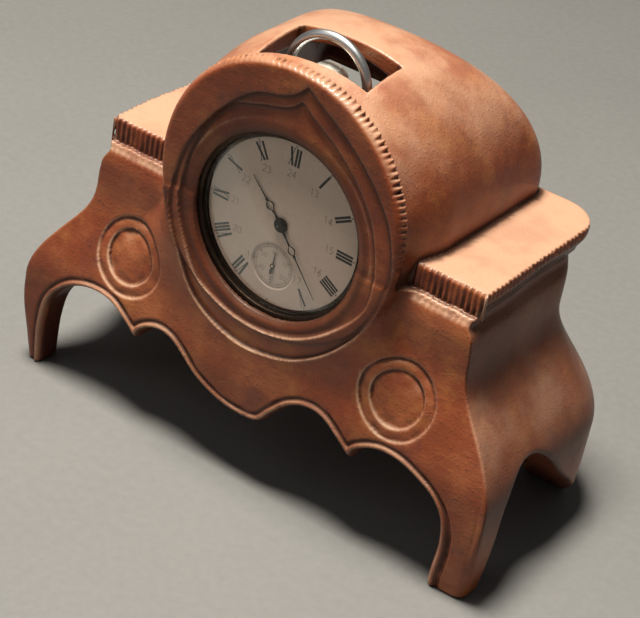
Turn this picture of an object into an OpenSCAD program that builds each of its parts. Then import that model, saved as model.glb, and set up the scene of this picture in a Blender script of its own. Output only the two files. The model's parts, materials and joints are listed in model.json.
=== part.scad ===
// Carved wooden display box for a pocket watch, shaped like a small mantel clock, with its watch.
// Origin: centre of the footprint on the table. +X runs along the width, -Y faces the viewer.

/* [Stand] */
// Width over the knees of the legs
stand_w = 135; // [130:1:150]
// Depth from front face to back feet
stand_d = 70; // [66:1:84]
// Width of the waist under the shelf
waist_w = 105; // [100:1:112]
// Height of the shelf's top
shelf_z = 72; // [70:0.5:76]
// Thickness of the shelf
shelf_t = 6; // [4:0.5:8]
// Depth of the shelf from front to back
shelf_d = 54; // [50:1:58]
// How far the shelf stands back from the front face
shelf_back = 8; // [7:0.5:10]
// Radius of the shelf's back corners
shelf_corner = 10; // [6:1:14]
// Wall of the legs and aprons
leg_wall = 9; // [8:0.5:11]
// Height of the hollow under the deck
hollow_z = 31; // [29:0.5:34]
// Width of a flute in the shelf's front edge
flute_w = 0.9; // [0.6:0.1:1.1]
// Pitch of the flutes and of the rim's notches
flute_pitch = 1.45; // [1.3:0.05:2]

/* [Drum] */
// Sideways offset of the drum and the watch
axis_x = 0.8; // [0:0.1:2]
// Height of the drum's axis
drum_z = 75.2; // [74.5:0.1:76.5]
// Radius of the drum behind the rim
drum_r = 35; // [34.5:0.1:37]
// How far the notched front rim stands inside the drum
rim_inset = 2.65; // [1.5:0.05:3.2]
// Thickness of the notched front rim
rim_t = 2.2; // [1.5:0.1:3]
// Notches in half a turn of the rim
rim_notches = 52; // [40:1:60]
// Radius of the roof's fall towards the back
roof_r = 40; // [39:0.5:42]
// Wall of the roof
roof_wall = 3.2; // [2.6:0.1:4]
// Wall of the drum's sides
drum_wall = 5; // [4:0.1:6]
// Width of the slot for the bow
slot_w = 26.6; // [26:0.1:29]
// Distance of the slot's front edge from the front face
slot_front = 6.4; // [5.5:0.1:6.6]
// Length of the slot from front to back
slot_len = 14.4; // [14:0.1:16]
// Radius of the round window
window_r = 22.1; // [21.6:0.1:22.6]
// Depth of one step of the moulding round the window
step_d = 0.7; // [0.4:0.05:0.8]
// Distance of the watch's seat from the front face
seat_y = 2.6; // [2.4:0.1:2.7]
// Depth of the round pocket behind the seat
pocket_d = 9.6; // [8:0.1:11]
// Radius of the carved rosettes
rosette_r = 9.6; // [8:0.2:10.4]
// Distance of a rosette from the middle
rosette_x = 38.4; // [37.5:0.2:41]
// Height of the rosettes
rosette_z = 41; // [40:0.5:43]

/* [Watch] */
// Height of the watch's centre
watch_z = 67.6; // [67.4:0.1:68]
// Distance of the dial from the front face
dial_y = 4.6; // [4.5:0.1:5]
// Lean of the watch to one side, in degrees
watch_roll = 1.7; // [0:0.1:3]
// Radius of the case
case_r = 25.2; // [25:0.05:25.4]
// Wall of the case round the movement
case_wall = 3.9; // [3.6:0.1:4]
// Width of the bezel round the glass
bezel_w = 3.95; // [3.8:0.05:4.1]
// Width of the dial's margin under the bezel
dial_margin = 0.9; // [0.8:0.05:1.4]
// Thickness of the glass
glass_t = 0.5; // [0.4:0.05:0.6]
// Radius of the seconds dial
sub_r = 5.8; // [5:0.1:6.2]
// Distance of the seconds dial from the centre
sub_y = 11.06; // [10.9:0.02:11.3]
// Thickness of the dial
dial_t = 0.8; // [0.6:0.05:0.9]
// Length of the minute hand
minute_len = 18.3; // [15:0.1:18.8]
// Length of the hour hand
hour_len = 12.8; // [11:0.1:13.4]
// Length of the seconds hand
second_len = 4.7; // [4:0.1:5.2]
// Clockwise angle of the hour hand from the top
hour_angle = 312; // [0:1:359]
// Clockwise angle of the minute hand from the top
minute_angle = 138; // [0:0.5:359.5]
// Radius of the crown
crown_r = 4.3; // [3.8:0.1:4.6]
// Height of the crown
crown_h = 6; // [5:0.1:6.4]
// Flutes round the crown
crown_flutes = 36; // [24:1:40]
// Radius of the pendant's neck
neck_r = 3.2; // [2.8:0.1:3.3]
// Radius of the pendant's collar
collar_r = 4; // [3.8:0.1:4.1]
// Length of the pendant
pendant_len = 5; // [4.8:0.1:5.4]
// Outer radius of the bow
bow_r = 11.4; // [11:0.1:11.8]
// Radius of the bow's wire
bow_wire = 1.1; // [0.9:0.05:1.2]
// Radius of the winding stem
stem_r = 0.8; // [0.7:0.05:0.9]
// Radius of the hinge pin
pin_r = 0.45; // [0.35:0.05:0.5]

/* [Movement] */
// Gap round the main plate in the case
plate_gap = 0.2; // [0.2:0.05:0.4]
// Thickness of the main plate
plate_t = 2.2; // [2:0.1:2.4]
// Thickness of the bridges
bridge_t = 1.5; // [1.2:0.1:1.6]
// Clear height between main plate and bridges
train_h = 4.6; // [4.6:0.1:4.7]
// Radius of the fine pivots
pivot_r = 0.27; // [0.2:0.01:0.3]
// Radius of the arbors
arbor_r = 0.4; // [0.35:0.01:0.45]
// Distance of the barrel from the centre
barrel_dist = 8.7; // [8.6:0.02:8.8]
// Distance of the third wheel from the centre
third_dist = 8.5; // [8.4:0.02:8.6]
// Distance of the fourth wheel from the third
fourth_dist = 6.8; // [6.7:0.02:6.9]
// Radius of the balance
balance_r = 5.8; // [5.4:0.05:5.9]
// Turns of the hairspring
hair_turns = 8; // [6:1:9]
// Turns of the mainspring
main_turns = 7; // [5:1:8]

/* [Hidden] */

// Colours as they look in daylight
wood = [0.55, 0.31, 0.19];
silver = [0.78, 0.77, 0.74];
gilt = [0.80, 0.66, 0.38];
steel = [0.62, 0.64, 0.67];
blued = [0.12, 0.12, 0.20];
enamel = [0.90, 0.86, 0.79];
ruby = [0.70, 0.10, 0.25];

big = 200;
eps = 0.01;
fine = 128;
mid = 48;
front_y = -stand_d / 2;
// Clearances: pieces laid on each other, a shaft in its bore, a piece in its seat
lay_gap = 0.05;
run_gap = 0.07;
seat_gap = 0.3;

// Cubic curve from a to d, drawn to b and c
function bez(a, b, c, d, n = 10) = [for (i = [0:n - 1]) let (t = i / n)
  pow(1 - t, 3) * a + 3 * t * pow(1 - t, 2) * b + 3 * t * t * (1 - t) * c + t * t * t * d];
function polar(r, a) = r * [cos(a), sin(a)];

// ---------------------------------------------------------------- stand
flare_lo = 25;
flare_hi = 54;
foot_z = 20;
foot_in = 1.5;
waist_front = 5.5;
corner_x = 40;
knee_corner_r = stand_w / 2 - corner_x;
waist_corner_r = waist_w / 2 - corner_x + 1;
corner_y = front_y + stand_d - knee_corner_r;
deck_z = watch_z - case_r - 2 * seat_gap;
shelf_y = front_y + shelf_back;
pocket_r = case_r + seat_gap;
rim_r = drum_r - rim_inset;
pocket_end = front_y + seat_y + pocket_d;
cavity_r = drum_r - drum_wall;
roof_y = front_y + 22;
roof_z = drum_z + drum_r - roof_r;
slot_y = front_y + slot_front;

// 1 at the knees, 0 at the waist, eased between
function flare(z) = z < flare_lo ? 1 : z > flare_hi ? 0
  : 0.5 * (1 + cos(180 * (z - flare_lo) / (flare_hi - flare_lo)));
function foot_cut(z) = foot_in * pow(max(0, (foot_z - z) / foot_z), 2);
function half_w(z) = waist_w / 2 + (stand_w - waist_w) / 2 * flare(z) - foot_cut(z);
function face_y(z) = front_y + waist_front * (1 - flare(z)) + foot_cut(z);
function corner_r(z) = waist_corner_r + (knee_corner_r - waist_corner_r) * flare(z) - foot_cut(z);
z_list = [for (z = [0:3:shelf_z - shelf_t]) z];
body_top = shelf_z - shelf_t;

module outline_xz() {
  right = [for (z = z_list) [half_w(z), z]];
  left = [for (i = [len(z_list) - 1:-1:0]) [-half_w(z_list[i]), z_list[i]]];
  polygon(concat(right, [[half_w(body_top), body_top], [-half_w(body_top), body_top]], left));
}

module outline_yz() {
  front = [for (i = [len(z_list) - 1:-1:0]) [face_y(z_list[i]), z_list[i]]];
  back = [for (z = z_list) [corner_y + corner_r(z), z]];
  polygon(concat(back, [[corner_y + corner_r(body_top), body_top], [face_y(body_top), body_top]], front));
}

module along_y(length) {
  rotate([90, 0, 0])
    translate([0, 0, -length])
      linear_extrude(length)
        children();
}

// Profile in the YZ plane, carried across the whole width
module along_x() {
  rotate([90, 0, 90])
    translate([0, 0, -big / 2])
      linear_extrude(big)
        children();
}

module rounded_corner() {
  rotate_extrude($fn = fine)
    polygon(concat([[0, 0]], [for (z = z_list) [corner_r(z), z]],
      [[corner_r(body_top), body_top], [0, body_top]]));
}

module stand_block() {
  intersection() {
    translate([0, -big / 2, 0])
      along_y(big)
        outline_xz();
    along_x()
      outline_yz();
    union() {
      translate([-big / 2, -big / 2, -1])
        cube([big, big / 2 + corner_y, big]);
      translate([-corner_x, -big / 2, -1])
        cube([2 * corner_x, big, big]);
      for (s = [-1, 1])
        translate([s * corner_x, corner_y, 0])
          rounded_corner();
    }
  }
}

module shelf() {
  translate([0, shelf_y, body_top - eps])
    linear_extrude(shelf_t + eps)
      difference() {
        union() {
          translate([-waist_w / 2, 0])
            square([waist_w, shelf_d - shelf_corner]);
          translate([-waist_w / 2 + shelf_corner, 0])
            square([waist_w - 2 * shelf_corner, shelf_d]);
          for (s = [-1, 1])
            translate([s * (waist_w / 2 - shelf_corner), shelf_d - shelf_corner])
              circle(shelf_corner, $fn = mid);
        }
        for (s = [-1, 1])
          for (x = [waist_w / 2 - flute_pitch / 2:-flute_pitch:drum_r + 1])
            translate([s * x, 0])
              circle(flute_w / 2, $fn = 16);
      }
}

module drum() {
  taper = 18;
  intersection() {
    translate([axis_x, 0, drum_z]) {
      translate([0, front_y, 0])
        along_y(rim_t)
          difference() {
            circle(rim_r, $fn = fine);
            for (i = [0:rim_notches])
              rotate(-4 + i * 188 / rim_notches)
                translate([rim_r, 0])
                  circle(flute_w / 2, $fn = 16);
          }
      translate([0, front_y + rim_t - eps, 0])
        rotate([-90, 0, 0])
          cylinder(h = taper, r1 = rim_r, r2 = drum_r, $fn = fine);
      translate([0, front_y + rim_t + taper - 2 * eps, 0])
        rotate([-90, 0, 0])
          cylinder(h = shelf_d + shelf_back - rim_t - taper, r = drum_r, $fn = fine);
    }
    union() {
      translate([-big / 2, -big + roof_y, -1])
        cube(big);
      translate([-big / 2, roof_y, roof_z])
        rotate([0, 90, 0])
          cylinder(h = big, r = roof_r, $fn = fine);
      translate([-big / 2, -big / 2, -1])
        cube([big, big, roof_z]);
    }
  }
}

// Free edge of the front apron, from the left leg to the right, as drawn for apron_w
apron_w = 135;
function apron_edge() = concat(
  [[-61.6, -1]],
  bez([-59.1, 20.3], [-55.5, 29.5], [-38, 31.5], [-32.1, 22.4]),
  bez([-32.1, 22.4], [-29, 36], [-15, 18.5], [-0.7, 17.8]),
  bez([5.7, 18.1], [10, 30], [24, 34], [31.3, 21.8]),
  bez([31.3, 21.8], [35, 31.5], [57.5, 28], [57.1, 12.9]),
  [[57.1, 12.9], [56.1, -1]]);

module apron_cut() {
  translate([0, front_y - 1, 0])
    along_y(leg_wall + 2)
      polygon([for (p = apron_edge()) [p[0] * stand_w / apron_w, p[1]]]);
}

function side_edge() = concat(
  bez([leg_wall, -1], [leg_wall, 18], [leg_wall + 2, 31], [20, 31.5]),
  bez([20, 31.5], [31, 32], [38, 14], [stand_d - 12, -1]),
  [[stand_d - 12, -1]]);

module leg_arches() {
  along_x()
    translate([front_y, 0])
      polygon(side_edge());
  translate([0, corner_y, 0])
    along_y(big)
      polygon(concat(bez([-50, -1], [-48, 36], [48, 36], [50, -1]), [[50, -1]]));
}

module under_hollow() {
  inner_x = stand_w / 2 - leg_wall - 1.5;
  inner_r = 20;
  inner_y = stand_d / 2 - leg_wall - inner_r;
  translate([0, 0, -1])
    linear_extrude(hollow_z + 1) {
      translate([-inner_x, front_y + leg_wall])
        square([2 * inner_x, inner_y - front_y - leg_wall]);
      translate([-inner_x + inner_r, front_y + leg_wall])
        square([2 * (inner_x - inner_r), stand_d - 2 * leg_wall]);
      for (s = [-1, 1])
        translate([s * (inner_x - inner_r), inner_y])
          circle(inner_r, $fn = mid);
    }
}

module watch_cavity() {
  roof_in = roof_r - roof_wall;
  translate([axis_x - cavity_r, front_y + shelf_d + 3, body_top])
    cube([2 * cavity_r, big, big]);
  intersection() {
    translate([0, pocket_end - eps, 0])
      along_y(big) {
        translate([axis_x, drum_z])
          circle(cavity_r, $fn = fine);
        translate([axis_x - cavity_r, deck_z])
          square([2 * cavity_r, drum_z - deck_z]);
      }
    union() {
      translate([-big / 2, -big + roof_y, -1])
        cube(big);
      translate([-big / 2, roof_y, roof_z])
        rotate([0, 90, 0])
          cylinder(h = big, r = roof_in, $fn = fine);
      translate([-big / 2, -big / 2, -1])
        cube([big, big, roof_z]);
    }
  }
}

// Round window line that rises to a point, as r round [cx, cz] with its tip at [tx, tz]
module ogee(cx, cz, r, tx, tz) {
  // The point's two feet start a little inside the circle
  left = [cx, cz] + polar(r - 0.4, 113);
  right = [cx, cz] + polar(r - 0.4, 63);
  translate([cx, cz])
    circle(r, $fn = fine);
  polygon(concat(
    bez(left, left + [6, 3.5], [tx - 4, tz - 5.2], [tx, tz], 8),
    bez([tx, tz], [tx + 3, tz - 5.2], right + [-6, 4.4], right, 8),
    [right, [cx, cz]]));
}

// Wood between the rim and the outer sunk step, and from that step to the next
step_margin = 2.65;
step_pitch = 3.1;

module window() {
  tip_out = drum_z + rim_r - 3.2;
  translate([0, front_y - 1, 0]) {
    along_y(1 + step_d)
      ogee(axis_x + 0.9, watch_z - 0.5, rim_r - step_margin, axis_x + 3.4, tip_out);
    along_y(1 + 2 * step_d)
      ogee(axis_x + 0.9, watch_z + 0.5, rim_r - step_margin - step_pitch, axis_x + 2.5,
        tip_out - 4.3);
    along_y(2 + seat_y)
      translate([axis_x, watch_z])
        circle(window_r, $fn = fine);
  }
  translate([axis_x, front_y + seat_y, watch_z])
    rotate([-90, 0, 0])
      cylinder(h = pocket_d, r = pocket_r, $fn = fine);
}

module bow_slot() {
  translate([axis_x - slot_w / 2, slot_y, watch_z + case_r - 4])
    cube([slot_w, slot_len, big]);
}

// Slope of the front face at a rosette, which lies flat on it
rosette_tilt = atan((face_y(rosette_z + rosette_r) - face_y(rosette_z - rosette_r)) / (2 * rosette_r));

module rosette() {
  groove = 0.8;
  for (r = [rosette_r, rosette_r - 2.9])
    rotate([-90 - rosette_tilt, 0, 0])
      difference() {
        translate([0, 0, -2])
          cylinder(h = 2 + groove, r = r, $fn = mid);
        translate([0, 0, -3])
          cylinder(h = 5, r = r - groove, $fn = mid);
      }
}

module carved_stand() {
  color(wood)
    difference() {
      union() {
        stand_block();
        shelf();
        drum();
      }
      apron_cut();
      leg_arches();
      under_hollow();
      watch_cavity();
      window();
      bow_slot();
      for (s = [-1, 1])
        translate([s * rosette_x, face_y(rosette_z), rosette_z])
          rosette();
    }
}

// ---------------------------------------------------------------- watch
// Depths in the watch count from the dial's face, positive towards the viewer
module in_watch() {
  translate([axis_x, front_y + dial_y, watch_z])
    rotate([0, watch_roll, 0])
      rotate([90, 0, 0])
        children();
}

case_front = -0.7;
motion_h = 1.3;
plate_front = -dial_t - motion_h;
plate_back = plate_front - plate_t;
bridge_front = plate_back - train_h;
bridge_back = bridge_front - bridge_t;
wheel_t = 0.25;
top_wheel_t = 0.6;
top_wheel_z = bridge_back - 0.1;
cuvette_front = bridge_back - 1.7;
cuvette_t = 0.45;
case_end = cuvette_front - cuvette_t - 0.35;
stem_z = plate_back - 2.7;
case_in = case_r - case_wall;
glass_r = case_r - bezel_w;
dial_r = glass_r - dial_margin;
plate_r = case_in - plate_gap;
ledge_r = plate_r - 0.7;
hinge_x = -(case_r + 0.75);
hinge_z = case_end - 0.05;
knuckle_r = 1;
hinge_half = 4.5;

module bored(h, r, bore) {
  difference() {
    cylinder(h = h, r = r, $fn = mid);
    translate([0, 0, -1])
      cylinder(h = h + 2, r = bore, $fn = mid);
  }
}

// Cylinder along the stem's direction, from y0 to y1 at depth stem_z
module radial(y0, y1, r, fn = mid) {
  translate([0, y0, stem_z])
    rotate([-90, 0, 0])
      cylinder(h = y1 - y0, r = r, $fn = fn);
}

module knuckle(y0, y1, r) {
  translate([hinge_x, y0, hinge_z])
    rotate([-90, 0, 0])
      cylinder(h = y1 - y0, r = r, $fn = mid);
}

// Barrel pieces of the hinge: bounds of each knuckle along the pin
case_k = [2.7, hinge_half];
back_k = [0.9, 2.5];
cuv_k = 0.7;
// Lugs that carry the case's own knuckles
lug_reach = 2.3;
lug_h = 1.5;

module case_middle() {
  color(silver)
    in_watch()
      difference() {
        union() {
          difference() {
            rotate_extrude($fn = fine)
              polygon([
                [case_r - 0.9, case_front], [case_r - 0.2, case_front - 0.9],
                [case_r, case_front - 2.7], [case_r, case_end + 2.2],
                [case_r - 0.3, case_end + 0.7], [case_r - 0.8, case_end],
                [case_in + 1, case_end], [case_in + 1, cuvette_front + 0.1],
                [case_in, cuvette_front + 0.1], [case_in, plate_back - 0.7],
                [ledge_r, plate_back - 0.7], [ledge_r, plate_back - lay_gap],
                [case_in, plate_back - lay_gap], [case_in, case_front]]);
            knuckle(-case_k[0] + 0.1, case_k[0] - 0.1, knuckle_r + 0.2);
            translate([-case_r - 1, -cuv_k - 0.2, case_end - 1])
              cube([case_wall + 1, 2 * cuv_k + 0.4, cuvette_front + 0.1 - case_end + 1]);
          }
          for (s = [0, 1])
            mirror([0, s, 0]) {
              knuckle(case_k[0], case_k[1], knuckle_r);
              translate([hinge_x, case_k[0], hinge_z + 0.05])
                cube([lug_reach, case_k[1] - case_k[0], lug_h]);
            }
        }
        knuckle(-hinge_half - 1, hinge_half + 1, pin_r + 0.04);
        radial(case_in - 2, case_r + 2, stem_r + 0.5);
      }
}

glass_seat = 0.35;
bezel_top = 1.75;

module bezel() {
  color(silver)
    in_watch()
      rotate_extrude($fn = fine)
        polygon([
          [glass_r + 0.35, case_front + lay_gap], [case_r - 0.9, case_front + lay_gap],
          [case_r - 0.75, 0.1], [case_r - 1.1, 0.9], [case_r - 1.9, 1.5], [case_r - 2.9, bezel_top],
          [glass_r + 0.2, 1.6], [glass_r + 0.1, 1.3], [glass_r + 0.1, glass_seat],
          [glass_r - 0.65, glass_seat], [glass_r - 0.65, lay_gap], [glass_r + 0.35, lay_gap]]);
}

glass_rise = 1.45;

module crystal() {
  n = 14;
  color([0.85, 0.9, 0.92, 0.35])
    in_watch()
      rotate_extrude($fn = fine)
        translate([0, glass_seat + lay_gap])
          polygon(concat(
            [for (i = [0:n]) [glass_r * i / n, glass_rise * (1 - pow(i / n, 2))]],
            [for (i = [n:-1:0]) [glass_r * i / n, glass_t + glass_rise * (1 - pow(i / n, 2))]]));
}

cannon_r = 0.75;
pipe_r = 1.15;
sub_at = [-0.34, -sub_y];
foot_r = 0.4;
foot_at = [[17.6, 5], [-12, 14.4], [-4, -18.4]];

module dial() {
  color(enamel)
    in_watch() {
      difference() {
        translate([0, 0, -dial_t])
          cylinder(h = dial_t, r = dial_r, $fn = fine);
        translate([0, 0, -dial_t - 1])
          cylinder(h = dial_t + 2, r = pipe_r + 0.25, $fn = mid);
        translate([sub_at[0], sub_at[1], -dial_t - 1])
          cylinder(h = dial_t + 2, r = sub_r, $fn = mid);
      }
      for (p = foot_at)
        translate([p[0], p[1], plate_front - 1.2])
          cylinder(h = motion_h + 1.2 + eps, r = foot_r, $fn = mid);
    }
}

sub_front = -0.25;

module seconds_dial() {
  color(enamel)
    in_watch()
      translate([sub_at[0], sub_at[1], -dial_t])
        bored(dial_t + sub_front, sub_r - lay_gap, arbor_r + 0.1);
}

hour_z = 0.25;
minute_z = 0.55;
hand_t = 0.14;
// Place of each hand's swelling, as a share of its length
hour_swell = 0.4;
minute_swell = 0.34;

// A hand that points up the page, with a swelling at r_drop and its tip at length
module hand(length, boss, bore, drop, at, tail) {
  difference() {
    union() {
      cylinder(h = hand_t, r = boss, $fn = mid);
      linear_extrude(hand_t)
        polygon([[-0.5, 0], [-0.28, at], [-0.22, at + drop], [-0.05, length], [0.05, length],
          [0.22, at + drop], [0.28, at], [0.5, 0], [0.3, -tail], [-0.3, -tail]]);
      translate([0, at, 0])
        cylinder(h = hand_t, r = drop, $fn = mid);
    }
    translate([0, 0, -1])
      cylinder(h = 2, r = bore, $fn = mid);
  }
}

module hour_hand() {
  color(blued)
    in_watch()
      translate([0, 0, hour_z])
        rotate(-hour_angle)
          hand(hour_len, pipe_r + 0.5, pipe_r + 0.02, 1.15, hour_len * hour_swell, 0);
}

module minute_hand() {
  color(blued)
    in_watch()
      translate([0, 0, minute_z])
        rotate(-minute_angle)
          hand(minute_len, cannon_r + 0.45, cannon_r + 0.02, 0.9, minute_len * minute_swell, 0);
}

module seconds_hand() {
  color(blued)
    in_watch()
      translate([sub_at[0], sub_at[1], 0])
        difference() {
          union() {
            cylinder(h = hand_t, r = 0.65, $fn = mid);
            linear_extrude(hand_t)
              polygon([[-0.16, -1.7], [-0.06, second_len], [0.06, second_len], [0.16, -1.7]]);
          }
          translate([0, 0, -1])
            cylinder(h = 2, r = pivot_r + 0.02, $fn = mid);
        }
}

// ---------------------------------------------------------------- wheels
// Spur wheel of n slim teeth; pitch radius rp, tooth 0 at angle turn
module toothed(n, rp, turn, t) {
  m = 2 * rp / n;
  tip = rp + 0.5 * m;
  root = rp - 0.85 * m;
  linear_extrude(t)
    polygon([for (i = [0:n - 1]) for (k = [[root, -0.23], [tip, -0.08], [tip, 0.08], [root, 0.23]])
      polar(k[0], turn + 360 / n * (i + k[1]))]);
}

module crossed(n, rp, turn, t, hub, spokes = 4) {
  m = 2 * rp / n;
  rim = rp - 0.85 * m - 0.5;
  difference() {
    toothed(n, rp, turn, t);
    difference() {
      translate([0, 0, -1])
        cylinder(h = t + 2, r = rim, $fn = mid);
      translate([0, 0, -2])
        cylinder(h = t + 4, r = hub, $fn = mid);
      for (i = [0:spokes - 1])
        rotate(turn + i * 360 / spokes)
          translate([0, -0.25, -2])
            cube([rim + 1, 0.5, t + 4]);
    }
  }
}

// Places of the wheels, seen from the dial's side
barrel_a = 20;
barrel_at = polar(barrel_dist, barrel_a);
// Where circles round the centre and round the seconds arbor cross
cross_d = norm(sub_at);
cross_a = atan2(sub_at[1], sub_at[0]);
third_a = cross_a + acos((pow(third_dist, 2) + pow(cross_d, 2) - pow(fourth_dist, 2))
  / (2 * third_dist * cross_d));
third_at = polar(third_dist, third_a);
fourth_at = sub_at;
escape_dist = 5.75;
escape_at = fourth_at + polar(escape_dist, 150);
pallet_at = escape_at + polar(3.3, 110);
balance_at = pallet_at + polar(3.9, 120);
crown_wheel_at = [0, 11.2];

n_barrel = 80;
n_centre_pinion = 10;
n_centre = 64;
n_third_pinion = 8;
n_third = 60;
n_fourth_pinion = 8;
n_fourth = 70;
n_escape_pinion = 7;
n_cannon = 10;
n_minute = 30;
n_minute_pinion = 8;
n_hour = 32;
n_crown_wheel = 24;
n_ratchet = 36;
n_winding = 18;

function share(d, a, b) = d * a / (a + b);
// Angle from point p to point q
function dir(p, q) = atan2(q[1] - p[1], q[0] - p[0]);
// Turn that puts a gap, not a tooth, at angle a
function gap_at(a, n) = a + 180 / n;

centre_z = plate_back - 0.95;
third_z = plate_back - 0.45;
fourth_z = plate_back - 1.7;
escape_z = plate_back - 2.3;
barrel_z = plate_back - 1.3;
barrel_h = 2.9;
balance_drop = 3.45;
balance_z = plate_back - balance_drop;
balance_t = 0.55;
hair_t = 0.25;
hair_z = balance_z - balance_t - 0.2 - hair_t;

module arbor(p, z0, z1) {
  translate([p[0], p[1], 0]) {
    translate([0, 0, z0])
      cylinder(h = z1 - z0, r = arbor_r, $fn = mid);
    translate([0, 0, z0 - 0.9])
      cylinder(h = z1 - z0 + 1.8, r = pivot_r, $fn = mid);
  }
}

motion_d = 5.4;
minute_at = polar(motion_d, 70);
motion_low = plate_front + 0.08;
motion_high = plate_front + 0.6;
cannon_top = minute_z + hand_t + 0.15;

module cannon_pinion() {
  color(steel)
    in_watch()
      difference() {
        union() {
          translate([0, 0, motion_low])
            cylinder(h = cannon_top - motion_low, r = cannon_r, $fn = mid);
          translate([0, 0, motion_low])
            toothed(n_cannon, share(motion_d, n_cannon, n_minute), dir([0, 0], minute_at), 0.4);
        }
        translate([0, 0, motion_low - 1])
          cylinder(h = 10, r = arbor_r + run_gap, $fn = mid);
      }
}

module minute_wheel() {
  rp = share(motion_d, n_minute, n_cannon);
  back = dir(minute_at, [0, 0]);
  color(gilt)
    in_watch()
      translate([minute_at[0], minute_at[1], 0])
        difference() {
          union() {
            translate([0, 0, motion_low])
              toothed(n_minute, rp, gap_at(back, n_minute), wheel_t);
            translate([0, 0, motion_low])
              toothed(n_minute_pinion, share(motion_d, n_minute_pinion, n_hour), back, motion_h - 0.35);
          }
          translate([0, 0, plate_front - 1])
            cylinder(h = 4, r = arbor_r + run_gap, $fn = mid);
        }
}

module hour_wheel() {
  color(gilt)
    in_watch()
      difference() {
        union() {
          translate([0, 0, motion_high])
            toothed(n_hour, share(motion_d, n_hour, n_minute_pinion),
              gap_at(dir([0, 0], minute_at), n_hour), wheel_t);
          translate([0, 0, motion_high])
            cylinder(h = hour_z + hand_t - motion_high, r = pipe_r, $fn = mid);
        }
        translate([0, 0, motion_high - 1])
          cylinder(h = 6, r = cannon_r + run_gap, $fn = mid);
      }
}

// ---------------------------------------------------------------- pendant, bow, crown
pendant_top = case_r + pendant_len;
bow_pivot = pendant_top - 1.3;
bow_mid = bow_pivot + 5;
bow_ring = bow_r - bow_wire;
bow_pin = 0.7;
crown_y = pendant_top + 0.4;

module pendant() {
  color(silver)
    in_watch()
      difference() {
        union() {
          radial(case_r - 2, pendant_top, neck_r);
          radial(bow_pivot - 1.35, pendant_top, collar_r);
          radial(bow_pivot - 2, bow_pivot - 1.35 + eps, neck_r + 0.4);
        }
        translate([0, 0, case_end])
          cylinder(h = -case_end + 5, r = case_r, $fn = fine);
        radial(case_r - 3, pendant_top + 1, stem_r + 0.5);
        translate([-collar_r - 1, bow_pivot, stem_z])
          rotate([0, 90, 0])
            cylinder(h = 2.6, r = bow_pin + run_gap, $fn = mid);
        translate([collar_r - 1.6, bow_pivot, stem_z])
          rotate([0, 90, 0])
            cylinder(h = 2.6, r = bow_pin + run_gap, $fn = mid);
      }
}

module bow() {
  drop_a = asin((bow_mid - bow_pivot) / bow_ring);
  arm_x = bow_ring * cos(drop_a);
  color(silver)
    in_watch()
      translate([0, 0, stem_z]) {
        translate([0, bow_mid, 0])
          rotate(-drop_a)
            rotate_extrude(angle = 180 + 2 * drop_a, $fn = fine)
              translate([bow_ring, 0])
                circle(bow_wire, $fn = mid);
        for (s = [0, 1])
          mirror([s, 0, 0])
            translate([0, bow_pivot, 0])
              rotate([0, 90, 0]) {
                translate([0, 0, collar_r + seat_gap])
                  cylinder(h = arm_x - collar_r - seat_gap, r = bow_wire * 0.95, $fn = mid);
                translate([0, 0, collar_r - 1.4])
                  cylinder(h = arm_x - collar_r, r = bow_pin, $fn = mid);
                translate([0, 0, arm_x])
                  sphere(bow_wire * 1.06, $fn = mid);
              }
      }
}

module crown() {
  color(gilt)
    in_watch()
      difference() {
        intersection() {
          translate([0, crown_y, stem_z])
            rotate([-90, 0, 0])
              linear_extrude(crown_h + 2)
                difference() {
                  circle(crown_r, $fn = mid);
                  for (i = [0:crown_flutes - 1])
                    rotate(i * 360 / crown_flutes)
                      translate([crown_r + 0.05, 0])
                        circle(0.24, $fn = 12);
                }
          translate([0, crown_y, stem_z])
            rotate([-90, 0, 0])
              rotate_extrude($fn = mid)
                polygon([[0, 0], [crown_r - 0.9, 0], [crown_r, 0.8], [crown_r, crown_h - 0.8],
                  [crown_r - 0.7, crown_h], [crown_r * 0.6, crown_h + 0.8], [0, crown_h + 1.2]]);
        }
        radial(crown_y - 1, crown_y + 3.5, stem_r + 0.02);
      }
}

stem_end = 10;
groove_y = 18;

module winding_stem() {
  color(steel)
    in_watch()
      difference() {
        radial(stem_end, crown_y + 3.4, stem_r);
        difference() {
          radial(groove_y - 0.4, groove_y + 0.4, stem_r + 1);
          radial(groove_y - 1, groove_y + 1, stem_r - 0.3);
        }
      }
}

module setting_lever() {
  color(steel)
    in_watch()
      difference() {
        translate([-1.5, groove_y - 0.3, plate_back - 3.2])
          cube([6, 0.6, 3.05]);
        radial(groove_y - 1, groove_y + 1, stem_r - 0.3 + run_gap);
        translate([-stem_r + 0.3 - run_gap, groove_y - 1, plate_back - 4])
          cube([2 * (stem_r - 0.3 + run_gap), 2, 4 - 2.7]);
      }
}

winding_y = crown_wheel_at[1] + 3.5;
winding_r = 3.2;

module sliding_pinion() {
  color(steel)
    in_watch()
      difference() {
        radial(winding_y - 3.2, winding_y - 1.4, 1.9);
        radial(winding_y - 4, winding_y, stem_r + 0.02);
        radial(winding_y - 2.6, winding_y - 2, 3);
        radial(winding_y - 4, winding_y, 1.3);
      }
  color(steel)
    in_watch()
      difference() {
        radial(winding_y - 3.2, winding_y - 1.4, 1.4);
        radial(winding_y - 4, winding_y, stem_r + 0.02);
      }
}

module winding_pinion() {
  color(steel)
    in_watch()
      translate([0, winding_y, stem_z])
        rotate([-90, 0, 0])
          difference() {
            union() {
              toothed(n_winding, winding_r - 0.18, 0, 0.8);
              cylinder(h = 1.4, r = 1.8, $fn = mid);
            }
            translate([0, 0, -1])
              cylinder(h = 4, r = stem_r + run_gap, $fn = mid);
          }
}

winding_d = norm(barrel_at - crown_wheel_at);

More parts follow.
